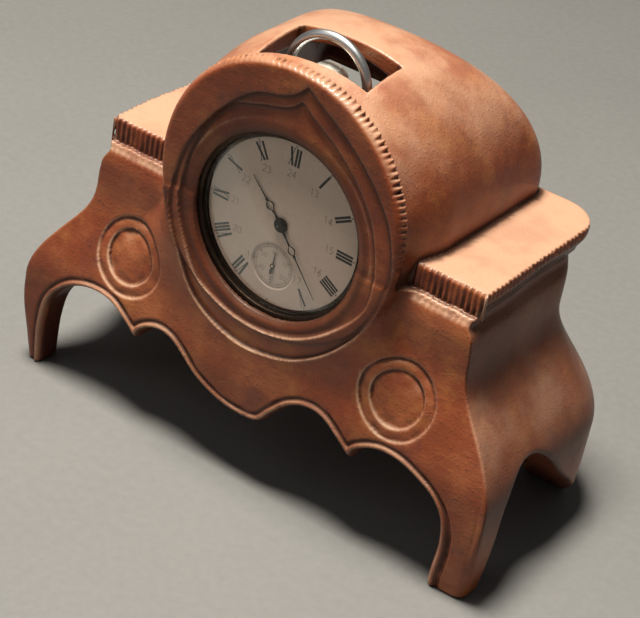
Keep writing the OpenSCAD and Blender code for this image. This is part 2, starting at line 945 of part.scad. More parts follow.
module crown_wheel() {
  color(steel)
    in_watch()
      translate([crown_wheel_at[0], crown_wheel_at[1], top_wheel_z - top_wheel_t])
        difference() {
          toothed(n_crown_wheel, share(winding_d, n_crown_wheel, n_ratchet),
            dir(crown_wheel_at, barrel_at), top_wheel_t);
          translate([0, 0, -1])
            cylinder(h = 3, r = 1 + run_gap, $fn = mid);
        }
}

module crown_wheel_screw() {
  color(steel)
    in_watch()
      translate([crown_wheel_at[0], crown_wheel_at[1], 0])
        difference() {
          union() {
            translate([0, 0, top_wheel_z - top_wheel_t - 0.1])
              cylinder(h = bridge_back - top_wheel_z + top_wheel_t + 0.1 - lay_gap, r = 1, $fn = mid);
            translate([0, 0, top_wheel_z - top_wheel_t - 0.5])
              cylinder(h = 0.4, r = 1.7, $fn = mid);
            translate([0, 0, bridge_back - 0.5])
              cylinder(h = bridge_t, r = 0.5, $fn = mid);
          }
          translate([-3, -0.15, top_wheel_z - top_wheel_t - 0.6])
            cube([6, 0.3, 0.3]);
        }
}

square_r = 1.1;

module ratchet_wheel() {
  color(steel)
    in_watch()
      translate([barrel_at[0], barrel_at[1], top_wheel_z - top_wheel_t])
        difference() {
          toothed(n_ratchet, share(winding_d, n_ratchet, n_crown_wheel),
            gap_at(dir(barrel_at, crown_wheel_at), n_ratchet), top_wheel_t);
          translate([0, 0, -1])
            cylinder(h = 3, r = square_r + 0.02, $fn = mid);
        }
}

// ---------------------------------------------------------------- barrel
hub_r = 1.7;
barrel_rp = share(barrel_dist, n_barrel, n_centre_pinion);
barrel_in = barrel_rp - 1.1;
skin = 0.35;

module barrel_arbor() {
  color(steel)
    in_watch()
      translate([barrel_at[0], barrel_at[1], 0]) {
        translate([0, 0, barrel_z - barrel_h + skin + lay_gap])
          cylinder(h = barrel_h - 2 * skin - 2 * lay_gap, r = hub_r, $fn = mid);
        translate([0, 0, top_wheel_z - top_wheel_t - 0.35])
          cylinder(h = plate_back - top_wheel_z + top_wheel_t + 1.2, r = square_r, $fn = mid);
        translate([0, 0, top_wheel_z - top_wheel_t - 0.35])
          cylinder(h = 0.3, r = 1.9, $fn = mid);
      }
}

module barrel() {
  color(gilt)
    in_watch()
      translate([barrel_at[0], barrel_at[1], barrel_z - barrel_h])
        difference() {
          union() {
            cylinder(h = barrel_h, r = barrel_rp - 0.35, $fn = fine);
            translate([0, 0, barrel_h - 0.6])
              toothed(n_barrel, barrel_rp, gap_at(dir(barrel_at, [0, 0]), n_barrel), 0.6);
          }
          translate([0, 0, -1])
            cylinder(h = barrel_h + 1 - skin, r = barrel_in, $fn = fine);
          translate([0, 0, -1])
            cylinder(h = barrel_h + 2, r = square_r + run_gap, $fn = mid);
        }
}

module barrel_cover() {
  color(gilt)
    in_watch()
      translate([barrel_at[0], barrel_at[1], barrel_z - barrel_h])
        bored(skin, barrel_in - 0.03, square_r + run_gap);
}

// Flat spiral band from radius r0 to r1 in so many turns
module spiral(r0, r1, turns, w, t) {
  n = turns * 24;
  function at(i, off) = polar(r0 + (r1 - r0) * i / n + off, 360 * turns * i / n);
  linear_extrude(t)
    polygon(concat([for (i = [0:n]) at(i, 0)], [for (i = [n:-1:0]) at(i, w)]));
}

module mainspring() {
  color(steel)
    in_watch()
      translate([barrel_at[0], barrel_at[1], barrel_z - barrel_h + skin + 0.1])
        spiral(hub_r + 0.1, barrel_in - 0.35, main_turns, 0.2, barrel_h - 2 * skin - 0.2);
}

click_a = -42;
click_at = barrel_at + polar(share(winding_d, n_ratchet, n_crown_wheel) + 1.9, click_a);

module click() {
  color(steel)
    in_watch()
      translate([click_at[0], click_at[1], top_wheel_z - top_wheel_t])
        rotate(click_a)
          difference() {
            union() {
              cylinder(h = top_wheel_t, r = 1, $fn = mid);
              linear_extrude(top_wheel_t)
                polygon([[0.9, 0.3], [-0.6, 2.6], [-2.3, 3.5], [-2.2, 2.9], [-1.2, 1.6], [-0.9, 0.3]]);
            }
            translate([0, 0, -1])
              cylinder(h = 3, r = 0.5 + run_gap, $fn = mid);
          }
}

module click_spring() {
  color(steel)
    in_watch()
      translate([click_at[0], click_at[1], bridge_back - 0.45 - lay_gap])
        rotate(click_a)
          linear_extrude(0.45)
            polygon([[1.4, -2.6], [1.4, 1.5], [-0.1, 3.1], [-0.3, 2.95], [1.15, 1.4], [1.15, -2.6], [-1, -2.6],
              [-1, -3.6], [1.4, -3.6]]);
}

// ---------------------------------------------------------------- going train
module centre_wheel() {
  color(gilt)
    in_watch() {
      translate([0, 0, centre_z - wheel_t])
        crossed(n_centre, share(third_dist, n_centre, n_third_pinion), dir([0, 0], third_at), wheel_t, 1.6);
      translate([0, 0, bridge_front + 0.3])
        toothed(n_centre_pinion, share(barrel_dist, n_centre_pinion, n_barrel), barrel_a,
          centre_z - bridge_front - 0.4);
      translate([0, 0, bridge_front - 0.9])
        cylinder(h = minute_z - bridge_front + 0.9, r = arbor_r, $fn = mid);
    }
}

module third_wheel() {
  color(gilt)
    in_watch() {
      arbor(third_at, bridge_front + lay_gap, plate_back - lay_gap);
      translate([third_at[0], third_at[1], 0]) {
        translate([0, 0, centre_z - wheel_t - 0.25])
          toothed(n_third_pinion, share(third_dist, n_third_pinion, n_centre),
            gap_at(dir(third_at, [0, 0]), n_third_pinion), 0.7);
        translate([0, 0, third_z - wheel_t])
          crossed(n_third, share(fourth_dist, n_third, n_fourth_pinion), dir(third_at, fourth_at), wheel_t, 1.4);
      }
    }
}

module fourth_wheel() {
  color(gilt)
    in_watch() {
      translate([fourth_at[0], fourth_at[1], 0]) {
        translate([0, 0, bridge_front + lay_gap])
          cylinder(h = plate_back - bridge_front - 2 * lay_gap, r = arbor_r, $fn = mid);
        translate([0, 0, bridge_front - 0.9])
          cylinder(h = hand_t + 0.05 - bridge_front + 0.9, r = pivot_r, $fn = mid);
        translate([0, 0, third_z - wheel_t - 0.3])
          toothed(n_fourth_pinion, share(fourth_dist, n_fourth_pinion, n_third),
            gap_at(dir(fourth_at, third_at), n_fourth_pinion), 0.65);
        translate([0, 0, fourth_z - wheel_t])
          crossed(n_fourth, share(escape_dist, n_fourth, n_escape_pinion), dir(fourth_at, escape_at), wheel_t, 1.2);
      }
    }
}

escape_r = 2.5;
n_escape = 15;

module escape_wheel() {
  color(steel)
    in_watch() {
      arbor(escape_at, bridge_front + lay_gap, plate_back - lay_gap);
      translate([escape_at[0], escape_at[1], 0]) {
        translate([0, 0, fourth_z - wheel_t - 0.2])
          toothed(n_escape_pinion, share(escape_dist, n_escape_pinion, n_fourth),
            gap_at(dir(escape_at, fourth_at), n_escape_pinion), 0.6);
        translate([0, 0, escape_z - wheel_t])
          linear_extrude(wheel_t)
            difference() {
              polygon([for (i = [0:n_escape - 1]) for (k = [[0.78, 0], [1, 0.5], [0.97, 0.62], [0.78, 0.4]])
                polar(escape_r * k[0], 360 / n_escape * (i + k[1]))]);
              difference() {
                circle(escape_r * 0.62, $fn = mid);
                circle(0.8, $fn = mid);
                for (i = [0:3])
                  rotate(i * 90)
                    translate([0, -0.15])
                      square([escape_r * 0.7, 0.3]);
              }
            }
      }
    }
}

fork_a = dir(pallet_at, balance_at);
pallet_side = dir(pallet_at, escape_at) - fork_a;
lever_len = 2.7;
cock_under = escape_z - wheel_t - 0.2;
cock_t = 0.5;

module pallet_fork() {
  reach = norm(pallet_at - escape_at) - escape_r - 0.25;
  color(steel)
    in_watch()
      translate([pallet_at[0], pallet_at[1], 0]) {
        translate([0, 0, cock_under + lay_gap])
          cylinder(h = plate_back - cock_under - 2 * lay_gap, r = 0.3, $fn = mid);
        translate([0, 0, cock_under - cock_t + 0.1])
          cylinder(h = plate_back - cock_under + cock_t + 0.7, r = 0.2, $fn = mid);
        translate([0, 0, escape_z - wheel_t])
          linear_extrude(wheel_t)
            rotate(fork_a)
              polygon([[-reach, -1.5], [-reach + 0.35, -1.6], [0.35, -0.35], [lever_len - 0.5, -0.2],
                [lever_len, -0.5], [lever_len + 0.1, -0.35], [lever_len - 0.25, 0],
                [lever_len + 0.1, 0.35], [lever_len, 0.5], [lever_len - 0.5, 0.2], [0.35, 0.35],
                [-reach + 0.35, 1.6], [-reach, 1.5], [-0.35, 0]]);
      }
}

cock_foot = pallet_at + polar(4.1, 200);

module pallet_cock() {
  color(gilt)
    in_watch()
      difference() {
        union() {
          translate([cock_foot[0], cock_foot[1], cock_under - cock_t])
            cylinder(h = plate_back - cock_under + cock_t - lay_gap, r = 0.95, $fn = mid);
          translate([pallet_at[0], pallet_at[1], cock_under - cock_t])
            cylinder(h = cock_t, r = 0.8, $fn = mid);
          translate([cock_foot[0], cock_foot[1], cock_under - cock_t])
            rotate(dir(cock_foot, pallet_at))
              translate([0, -0.7, 0])
                cube([norm(cock_foot - pallet_at), 1.4, cock_t]);
        }
        translate([pallet_at[0], pallet_at[1], cock_under - 3])
          cylinder(h = 6, r = 0.2 + run_gap, $fn = mid);
      }
}

roller_r = 0.85;

module balance_wheel() {
  color(gilt)
    in_watch() {
      arbor(balance_at, bridge_front + lay_gap, plate_back - lay_gap);
      translate([balance_at[0], balance_at[1], 0]) {
        translate([0, 0, escape_z - wheel_t])
          cylinder(h = wheel_t, r = roller_r, $fn = mid);
        translate([0, 0, balance_z - balance_t]) {
          difference() {
            cylinder(h = balance_t, r = balance_r, $fn = fine);
            translate([0, 0, -1])
              cylinder(h = balance_t + 2, r = balance_r - 0.7, $fn = fine);
          }
          cylinder(h = balance_t, r = 0.9, $fn = mid);
          for (i = [0, 180])
            rotate(i + fork_a)
              translate([0.5, -0.4, 0])
                cube([balance_r - 0.8, 0.8, balance_t]);
        }
      }
    }
}

module hairspring() {
  color(blued)
    in_watch()
      translate([balance_at[0], balance_at[1], hair_z])
        spiral(arbor_r + 0.05, 3.3, hair_turns, 0.08, hair_t);
}

// ---------------------------------------------------------------- plates and bridges
bridge_pillars = [[-9.5, 14.5], [8.5, 16.4], [17.4, -5.4]];
train_pillars = [[12.6, -11.4], [-8.5, -15.4], [3, -18.2]];
cock_pillar = [-16.4, -5.6];
pillar_r = 1.7;
screw_r = 0.5;
case_screw_r = plate_r - 1.6;
case_screw_a = [136, 296];

function screw_places() = concat(bridge_pillars, train_pillars, [cock_pillar]);

module holes(places, r) {
  for (p = places)
    translate([p[0], p[1], -big / 2])
      cylinder(h = big, r = r, $fn = mid);
}

module main_plate() {
  color(gilt)
    in_watch()
      difference() {
        union() {
          translate([0, 0, plate_back])
            cylinder(h = plate_t, r = plate_r, $fn = fine);
          translate([minute_at[0], minute_at[1], plate_front - eps])
            cylinder(h = motion_h - 0.3, r = arbor_r, $fn = mid);
          translate([-1.5, stem_end - 0.8, stem_z - 1.3])
            cube([3, 1.5, plate_back - stem_z + 1.3 + eps]);
        }
        holes([[0, 0]], arbor_r + run_gap);
        holes([third_at, fourth_at, escape_at, balance_at], pivot_r + run_gap);
        holes([pallet_at], 0.2 + run_gap);
        holes([barrel_at], square_r + run_gap);
        holes(screw_places(), screw_r + lay_gap);
        holes([for (a = case_screw_a) polar(case_screw_r, a)], screw_r + lay_gap);
        holes(foot_at, foot_r + run_gap);
        radial(stem_end - 0.3, plate_r + 1, stem_r + run_gap);
        translate([-winding_r - 0.4, stem_end + 0.9, plate_back - 1])
          cube([2 * winding_r + 0.8, winding_y - stem_end + 1.2, 1 + stem_z + winding_r + 0.35 - plate_back]);
      }
}

module bridge(outline, pillars) {
  intersection() {
    translate([0, 0, bridge_back])
      linear_extrude(bridge_t)
        polygon(outline);
    translate([0, 0, bridge_back - 1])
      cylinder(h = bridge_t + 2, r = plate_r - 0.4, $fn = fine);
  }
  for (p = pillars)
    translate([p[0], p[1], bridge_front - eps])
      cylinder(h = train_h - lay_gap + eps, r = pillar_r, $fn = mid);
}

module barrel_bridge() {
  color(gilt)
    in_watch()
      difference() {
        bridge([[-13, 30], [-13, 14], [-9, 7.5], [-2, 1.8], [-2, -1.8], [3, -2.6], [12, -7], [30, -10],
          [30, 30]], bridge_pillars);
        holes([[0, 0]], arbor_r + run_gap);
        holes([barrel_at], square_r + run_gap);
        holes(bridge_pillars, screw_r + lay_gap);
        holes([crown_wheel_at], 0.5 + lay_gap);
        holes([click_at], 0.5 + lay_gap);
        translate([-winding_r - 0.3, winding_y - 0.3, bridge_back - 1])
          cube([2 * winding_r + 0.6, 2, bridge_t + 2]);
      }
}

jewel_r = 0.95;

module train_bridge() {
  color(gilt)
    in_watch()
      difference() {
        bridge([[3.2, -4.4], [7.6, -6.2], [12.2, -8.6], [30, -13], [20, -30], [-20, -30], [-11.4, -13],
          [-8.4, -9.8], [-6.8, -6.7], [-4, -6.5], [-1, -8.6]], train_pillars);
        holes([third_at, fourth_at, escape_at], jewel_r + 0.02);
        holes(train_pillars, screw_r + lay_gap);
      }
}

module balance_cock() {
  color(gilt)
    in_watch()
      difference() {
        union() {
          bridge([[-30, 2], [-12, 1.6], [-6.5, 0.4], [-6.2, -3.4], [-12, -5.6], [-14, -9.6], [-30, -9.6]],
            [cock_pillar]);
          translate([balance_at[0], balance_at[1], bridge_back])
            cylinder(h = bridge_t, r = 2.3, $fn = mid);
        }
        holes([balance_at], jewel_r + 0.02);
        holes([cock_pillar], screw_r + lay_gap);
      }
}

module bridge_jewels() {
  color(ruby)
    in_watch()
      for (p = [third_at, fourth_at, escape_at, balance_at])
        translate([p[0], p[1], bridge_back + 0.2])
          bored(bridge_t - 0.3, jewel_r, pivot_r + run_gap);
}

module screw(head_r, head_t, length) {
  difference() {
    union() {
      translate([0, 0, -head_t])
        cylinder(h = head_t, r = head_r, $fn = mid);
      translate([0, 0, -eps])
        cylinder(h = length, r = screw_r, $fn = mid);
    }
    translate([-head_r - 1, -0.12, -head_t - 1])
      cube([2 * head_r + 2, 0.24, 1 + head_t / 2]);
  }
}

module bridge_screws() {
  color(steel)
    in_watch() {
      for (p = screw_places())
        translate([p[0], p[1], bridge_back - lay_gap])
          screw(1.1, 0.5, bridge_t + train_h + plate_t - 0.4);
      translate([click_at[0], click_at[1], top_wheel_z - top_wheel_t - 0.06])
        screw(0.9, 0.35, top_wheel_t + bridge_t - 0.3);
    }
}

module case_screws() {
  color(steel)
    in_watch()
      for (a = case_screw_a)
        rotate(a)
          translate([case_screw_r, 0, plate_back - 0.75])
            screw(1.25, 0.5, plate_t + 0.3);
}

// ---------------------------------------------------------------- covers
module cuvette() {
  color(silver)
    in_watch()
      difference() {
        union() {
          translate([0, 0, cuvette_front - cuvette_t])
            cylinder(h = cuvette_t, r = case_in + 0.85, $fn = fine);
          translate([hinge_x, -cuv_k, hinge_z + 0.1])
            cube([case_wall, 2 * cuv_k, cuvette_front - cuvette_t / 2 - hinge_z - 0.1]);
          knuckle(-cuv_k, cuv_k, knuckle_r - 0.05);
        }
        knuckle(-hinge_half - 1, hinge_half + 1, pin_r + 0.04);
      }
}

back_rise = 3.6;

module case_back() {
  n = 10;
  rim = case_r - 0.3;
  function dome(r) = case_end - lay_gap - 1 - (back_rise - 1) * (1 - pow(r / rim, 2));
  color(silver)
    in_watch()
      difference() {
        union() {
          rotate_extrude($fn = fine)
            polygon(concat([[rim - 1.5, case_end - lay_gap], [rim - 0.3, case_end - lay_gap],
              [rim, case_end - 0.45]],
              [for (i = [n:-1:0]) [rim * i / n, dome(rim * i / n)]],
              [for (i = [0:n]) [(rim - 1.5) * i / n, dome((rim - 1.5) * i / n) + 0.55]]));
          for (s = [0, 1])
            mirror([0, s, 0]) {
              knuckle(back_k[0], back_k[1], knuckle_r);
              translate([hinge_x, back_k[0], hinge_z - 0.95])
                cube([2, back_k[1] - back_k[0], 0.9]);
            }
        }
        for (s = [0, 1])
          mirror([0, s, 0])
            knuckle(case_k[0] - 0.1, case_k[1] + 0.2, knuckle_r + 0.2);
        knuckle(-back_k[0] + 0.1, back_k[0] - 0.1, knuckle_r + 0.15);
        knuckle(-hinge_half - 1, hinge_half + 1, pin_r + 0.04);
      }
}

module hinge_pin() {
  color(steel)
    in_watch()
      knuckle(-hinge_half, hinge_half, pin_r);
}

carved_stand();
case_middle();
bezel();
crystal();
dial();
seconds_dial();
hour_hand();
minute_hand();
seconds_hand();
cannon_pinion();
hour_wheel();
minute_wheel();
pendant();
bow();
crown();
winding_stem();
setting_lever();
sliding_pinion();
winding_pinion();
crown_wheel();
crown_wheel_screw();
ratchet_wheel();
barrel_arbor();
barrel();
barrel_cover();
mainspring();
click();
click_spring();
centre_wheel();
third_wheel();
fourth_wheel();
escape_wheel();
pallet_fork();
pallet_cock();
balance_wheel();
hairspring();
main_plate();
barrel_bridge();
train_bridge();
balance_cock();
bridge_screws();
bridge_jewels();
case_screws();
cuvette();
case_back();
hinge_pin();
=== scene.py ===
"""Looks for a carved wooden stand, shaped like a small mantel clock, and the pocket watch inside it."""

import json
import math

import bpy
import numpy as np
from bpy.props import FloatProperty, FloatVectorProperty, IntProperty, PointerProperty
from mathutils import Matrix, Vector


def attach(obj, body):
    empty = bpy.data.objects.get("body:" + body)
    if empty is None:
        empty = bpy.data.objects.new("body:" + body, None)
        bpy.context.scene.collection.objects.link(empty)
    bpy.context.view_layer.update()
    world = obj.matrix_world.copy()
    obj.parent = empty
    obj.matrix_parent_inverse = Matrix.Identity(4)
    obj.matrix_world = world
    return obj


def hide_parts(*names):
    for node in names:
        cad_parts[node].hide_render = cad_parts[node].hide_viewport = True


bl_info = {
    "name": "Pocket watch display box",
    "version": (1, 0, 0),
    "blender": (4, 5, 0),
    "location": "View3D > Sidebar > Watch box",
    "description": "Carves the wooden stand and finishes the pocket watch that it holds",
    "category": "Object",
}

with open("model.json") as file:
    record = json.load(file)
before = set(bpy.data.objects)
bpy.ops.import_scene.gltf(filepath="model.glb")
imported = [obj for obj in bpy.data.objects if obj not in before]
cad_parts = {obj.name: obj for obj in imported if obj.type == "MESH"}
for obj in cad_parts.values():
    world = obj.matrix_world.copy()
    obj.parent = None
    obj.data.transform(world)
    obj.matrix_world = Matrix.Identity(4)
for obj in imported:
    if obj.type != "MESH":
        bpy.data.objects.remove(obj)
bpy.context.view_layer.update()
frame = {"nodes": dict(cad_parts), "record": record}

MM = 0.001
FRONT = -35.0  # the front face's place along Y, in millimetres
AXIS_X = 0.8  # sideways offset of the drum and the watch
DRUM_Z = 75.2  # height of the drum's axis
ROOF_Z = 70.2  # height of the axis round which the roof falls to the back
ROOF_BACK = 22  # how far that axis lies behind the front face
WATCH_Z = 67.6  # height of the watch's axis
DIAL_Y = FRONT + 4.6  # the dial's face along Y
ROLL = math.radians(1.7)  # how far the watch stands turned in its window
ROSETTES = ((-38.4, 41.3), (38.6, 40.9))  # places of the carved rosettes


def colour(name, default, description):
    return FloatVectorProperty(
        name=name, description=description, default=default, size=3, min=0, max=1, subtype="COLOR"
    )


def length(name, default, description):
    return FloatProperty(
        name=name, description=description, default=default, min=0, unit="LENGTH", subtype="DISTANCE"
    )


def power(name, default, description):
    return FloatProperty(name=name, description=description, default=default, min=0, unit="POWER")


class StandSizes(bpy.types.PropertyGroup):
    """Sizes of the carving."""

    shelf_top: length("Shelf top", 0.072, "Height of the shelf's upper face")
    shelf_half: length("Shelf half width", 0.052, "From the middle to the shelf's end")
    rim_radius: length("Rim radius", 0.03235, "Radius of the notched rim round the face")
    drum_radius: length("Drum radius", 0.035, "Radius of the drum behind the rim")
    roof_radius: length("Roof radius", 0.04, "Radius of the roof's fall to the back")
    reed_pitch: length("Reed pitch", 0.00145, "Spacing of the reeds on the shelf's front edge")
    reed_depth: length("Reed depth", 0.00085, "Depth of the cuts between the reeds")
    notch_pitch: length("Notch pitch", 0.0015, "Spacing of the notches round the rim")
    notch_depth: length("Notch depth", 0.0009, "Depth of the notches round the rim")
    step_depth: length("Moulding step", 0.00125, "Depth of each sunk step round the window")
    rosette_radius: length("Rosette radius", 0.0096, "Radius of the carved rosettes")
    rosette_inner: length("Rosette disc", 0.0067, "Radius of the rosette's inner disc")
    bead_width: length("Bead width", 0.0022, "Width of the bead along the apron's edge")
    unevenness: length("Unevenness", 0.00016, "How far the hand work strays from true")
    grid: length("Carving grid", 0.00042, "Spacing of the grid that the carving is cut on")
    triangles: IntProperty(
        name="Triangles", description="Triangles kept in the finished carving", default=230000, min=20000
    )


class WoodLook(bpy.types.PropertyGroup):
    """Colours of the waxed fruitwood, and of the painted light and shade on it."""

    # Deep is the colour of pores and of old wax in the hollows, and also paints the shade in recesses, under
    # faces, on the sides and along the cut lines.
    deep_and_shade: colour("Deep", (0.050, 0.013, 0.006), "Wood in the recesses, dark with old wax")
    middle: colour("Middle", (0.262, 0.056, 0.018), "Wood on the open faces")
    amber: colour("Amber", (0.430, 0.150, 0.034), "Yellower patches under the wax")
    plum: colour("Plum", (0.150, 0.034, 0.022), "Darker reddish patches")
    light: colour("Light", (0.460, 0.148, 0.052), "Lighter blotches")
    # Tan is painted light on faces that point up.
    tan: colour("Tan", (0.520, 0.290, 0.175), "Upper faces, bleached by light and handling")
    # Worn is the colour of rubbed edges, and also paints light on the shelf top and highlights along the cut
    # lines.
    worn: colour("Worn", (0.740, 0.470, 0.300), "Edges and tops that hands have rubbed")
    roughness: FloatProperty(name="Roughness", description="How dull the wax is", default=0.42, min=0, max=1)


class WatchLook(bpy.types.PropertyGroup):
    """Colours of the watch."""

    # The enamel's pinkish tone partly paints the warm light that the wood throws on the dial.
    enamel: colour("Enamel", (0.68, 0.495, 0.395), "Fired enamel of the dial")
    ink: colour("Numerals", (0.014, 0.013, 0.013), "Painted hour numerals")
    faded: colour("Small numbers", (0.30, 0.20, 0.16), "Faded inner numbers")
    silver: colour("Silver", (0.74, 0.73, 0.70), "Case, bezel, pendant and bow")
    # The bezel's dark colour is painted shade: it lies in the window's shadow.
    bezel_in_shade: colour("Bezel", (0.060, 0.040, 0.028), "Bezel, dark from the wood that it lies in")
    crown: colour("Crown", (0.86, 0.80, 0.68), "Worn plate of the crown")
    gilt: colour("Gilt", (0.78, 0.58, 0.29), "Gilt plates and wheels")
    steel: colour("Steel", (0.55, 0.56, 0.58), "Polished steel")
    hands: colour("Hands", (0.045, 0.032, 0.030), "Blued steel of the hands, gone brown")
    jewel: colour("Jewels", (0.42, 0.015, 0.06), "Bearing jewels")


class StageLook(bpy.types.PropertyGroup):
    """Floor, lamps and camera."""

    floor: colour("Floor", (0.205, 0.200, 0.182), "Colour of the table")
    key: power("Key lamp", 14.5, "Power of the lamp above")
    fill: power("Fill lamp", 1.0, "Power of the lamp in front")
    sky: FloatProperty(name="Sky", description="Strength of the even light", default=0.08, min=0)
    lens: FloatProperty(
        name="Lens", description="Focal length of the camera", default=111.39, min=1, unit="CAMERA"
    )


# ------------------------------------------------------------------ shader arithmetic


class Wire:
    """A socket in Python arithmetic: a number goes through Math, a vector through Vector Math."""

    def __init__(self, finish, socket):
        self.finish = finish
        self.socket = socket

    @property
    def flat(self):
        return self.socket.type == "VALUE"

    def _join(self, operation, a, b):
        flat = all(w.flat if isinstance(w, Wire) else isinstance(w, (int, float)) for w in (a, b))
        kind = "ShaderNodeMath" if flat else "ShaderNodeVectorMath"
        if not flat:
            a, b = ((float(w),) * 3 if isinstance(w, (int, float)) else w for w in (a, b))
        return self.finish.node(kind, {"operation": operation}, {0: a, 1: b})

    def __add__(self, other):
        return self._join("ADD", self, other)

    def __radd__(self, other):
        return self._join("ADD", other, self)

    def __sub__(self, other):
        return self._join("SUBTRACT", self, other)

    def __rsub__(self, other):
        return self._join("SUBTRACT", other, self)

    def __mul__(self, other):
        return self._join("MULTIPLY", self, other)

    def __rmul__(self, other):
        return self._join("MULTIPLY", other, self)

    def ramp(self, low, high, to_low=0.0, to_high=1.0):
        """Eased step of a number from low to high."""
        return self.finish.node(
            "ShaderNodeMapRange",
            {"interpolation_type": "SMOOTHSTEP"},
            {"Value": self, "From Min": low, "From Max": high, "To Min": to_low, "To Max": to_high},
        )

    def blend(self, first, second):
        """Colour that goes from first to second as this number goes from 0 to 1."""
        return self.finish.node(
            "ShaderNodeMix",
            {"data_type": "RGBA", "clamp_factor": True},
            {0: self, 6: first, 7: second},
            2,
        )


def darker(shade, *shares):
    """A colour times one share, or times a share for each channel."""
    return tuple(c * k for c, k in zip(shade, shares * 3 if len(shares) == 1 else shares))


class Finish:
    """A material and one method that adds any node to it."""

    def __init__(self, name):
        self.material = bpy.data.materials.new(name)
        self.material.use_nodes = True
        self.tree = self.material.node_tree
        self.tree.nodes.clear()
        self.place = self.node("ShaderNodeTexCoord", {}, {}, "Object")

    def node(self, kind, settings, inputs, output=0):
        made = self.tree.nodes.new(kind)
        for key, value in settings.items():
            if key == "stops":
                while len(made.color_ramp.elements) < len(value):
                    made.color_ramp.elements.new(0.5)
                for element, (at, shade) in zip(made.color_ramp.elements, value):
                    element.position = at
                    element.color = shade
            else:
                setattr(made, key, value)
        for key, value in inputs.items():
            socket = made.inputs[key]
            if isinstance(value, Wire):
                self.tree.links.new(value.socket, socket)
            elif socket.type == "RGBA" and len(value) == 3:
                socket.default_value = (*value, 1)
            else:
                socket.default_value = value
        return Wire(self, made.outputs[output]) if made.outputs else made

    def noise(self, scale, detail=3.0, rough=0.55, stretch=None, shift=(0, 0, 0)):
        """Noise from 0 to 1. Scale is in features per metre, stretch makes it longer along an axis."""
        place = self.place + tuple(shift)
        if stretch:
            place = place * tuple(stretch)
        return self.node(
            "ShaderNodeTexNoise", {}, {"Vector": place, "Scale": scale, "Detail": detail, "Roughness": rough}
        )

    def cells(self, scale, stretch):
        """Rounded cells, for the flats that a knife leaves."""
        place = self.place * tuple(stretch)
        return self.node("ShaderNodeTexVoronoi", {"feature": "SMOOTH_F1"}, {"Vector": place, "Scale": scale})

    def mark(self, name):
        """A number painted on the mesh's points."""
        return self.node("ShaderNodeAttribute", {"attribute_name": name}, {}, "Fac")

    def bump(self, height, depth, strength=1.0, normal=None):
        inputs = {"Height": height, "Distance": depth, "Strength": strength}
        if normal:
            inputs["Normal"] = normal
        return self.node("ShaderNodeBump", {}, inputs)

    def surface(self, **inputs):
        names = {key.replace("_", " ").title().replace("Ior", "IOR"): v for key, v in inputs.items()}
        shader = self.node("ShaderNodeBsdfPrincipled", {}, names)
        self.node("ShaderNodeOutputMaterial", {}, {"Surface": shader})
        return self.material


def waxed_wood(look):
    """Reddish fruitwood under old wax: blotches, fine grain along the width, rubbed edges, painted shade in
    the recesses and on the sides, painted light on upper faces, painted highlights on the cut lines.
    """
    f = Finish("waxed fruitwood")
    recess, edge, top, sky, line = (f.mark(name) for name in ("recess", "edge", "top", "sky", "line"))
    blotch = f.noise(46, 4, 0.6)
    patch = f.noise(150, 5, 0.62, shift=(0.31, 0.12, 0.4))
    streak = f.noise(60, 6, 0.65, stretch=(0.45, 3.2, 3.2))
    fine = f.noise(900, 3, 0.6, stretch=(0.35, 1.4, 1.4))
    speck = f.noise(1500, 2, 0.5)
    mottle = blotch * 0.42 + patch * 0.30 + streak * 0.28
    stops = [(0.28, (*darker(look.middle, 0.62), 1)), (0.47, (*look.middle, 1)), (0.70, (*look.light, 1))]
    tone = f.node("ShaderNodeValToRGB", {"stops": stops}, {"Fac": mottle})
    warm = f.noise(85, 4, 0.6, shift=(0.7, 0.2, 0.1))
    tone = (warm.ramp(0.52, 0.70) * 0.55).blend(tone, tuple(look.amber))
    tone = (warm.ramp(0.47, 0.30) * 0.60).blend(tone, tuple(look.plum))
    veins = fine.ramp(0.50, 0.72) * 0.34 + streak.ramp(0.56, 0.70) * 0.22
    veined = veins.blend(tone, darker(look.middle, 0.55))
    pores = (speck.ramp(0.66, 0.74) * 0.5).blend(veined, tuple(look.deep_and_shade))
    handled = edge.ramp(0.25, 0.75) * (0.25 + 0.75 * patch.ramp(0.40, 0.62)) * 0.72
    rubbed = handled.blend(pores, tuple(look.worn))
    # Painted light: the shelf's upper face goes to the worn colour, as if lit from above.
    topped = (top * (0.45 + 0.45 * blotch.ramp(0.35, 0.65))).blend(rubbed, tuple(look.worn))
    # Painted light: faces that point up go to tan, the more the more they face up.
    topped = (sky.ramp(0.20, 0.80) * (0.30 + 0.60 * blotch.ramp(0.36, 0.60))).blend(topped, tuple(look.tan))
    # Painted highlights along the front's cut lines, in the worn colour.
    topped = (line * (0.45 + 0.55 * patch.ramp(0.36, 0.58))).blend(topped, tuple(look.worn))
    # Painted shade in recesses, under downward faces and on the sides, together with old wax in the hollows.
    dark = (recess.ramp(0.10, 0.75) * (0.70 + 0.3 * patch)).blend(topped, tuple(look.deep_and_shade))
    rough = look.roughness + 0.16 * (patch - 0.5) + 0.12 * recess - 0.08 * edge
    facets = f.cells(210, (0.7, 1, 1))
    relief = f.bump(facets, 0.00030, 0.55)
    relief = f.bump(blotch, 0.0011, 0.35, relief)
    relief = f.bump(streak * 0.5 + fine * 0.5, 0.00016, 0.65, relief)
    relief = f.bump(speck.ramp(0.52, 0.70), 0.00010, 0.5, relief)
    return f.surface(
        base_color=dark, roughness=rough - 0.14 * line, normal=relief, specular_ior_level=0.30,
        coat_weight=0.10 + 0.14 * (1 - recess), coat_roughness=0.17
    )


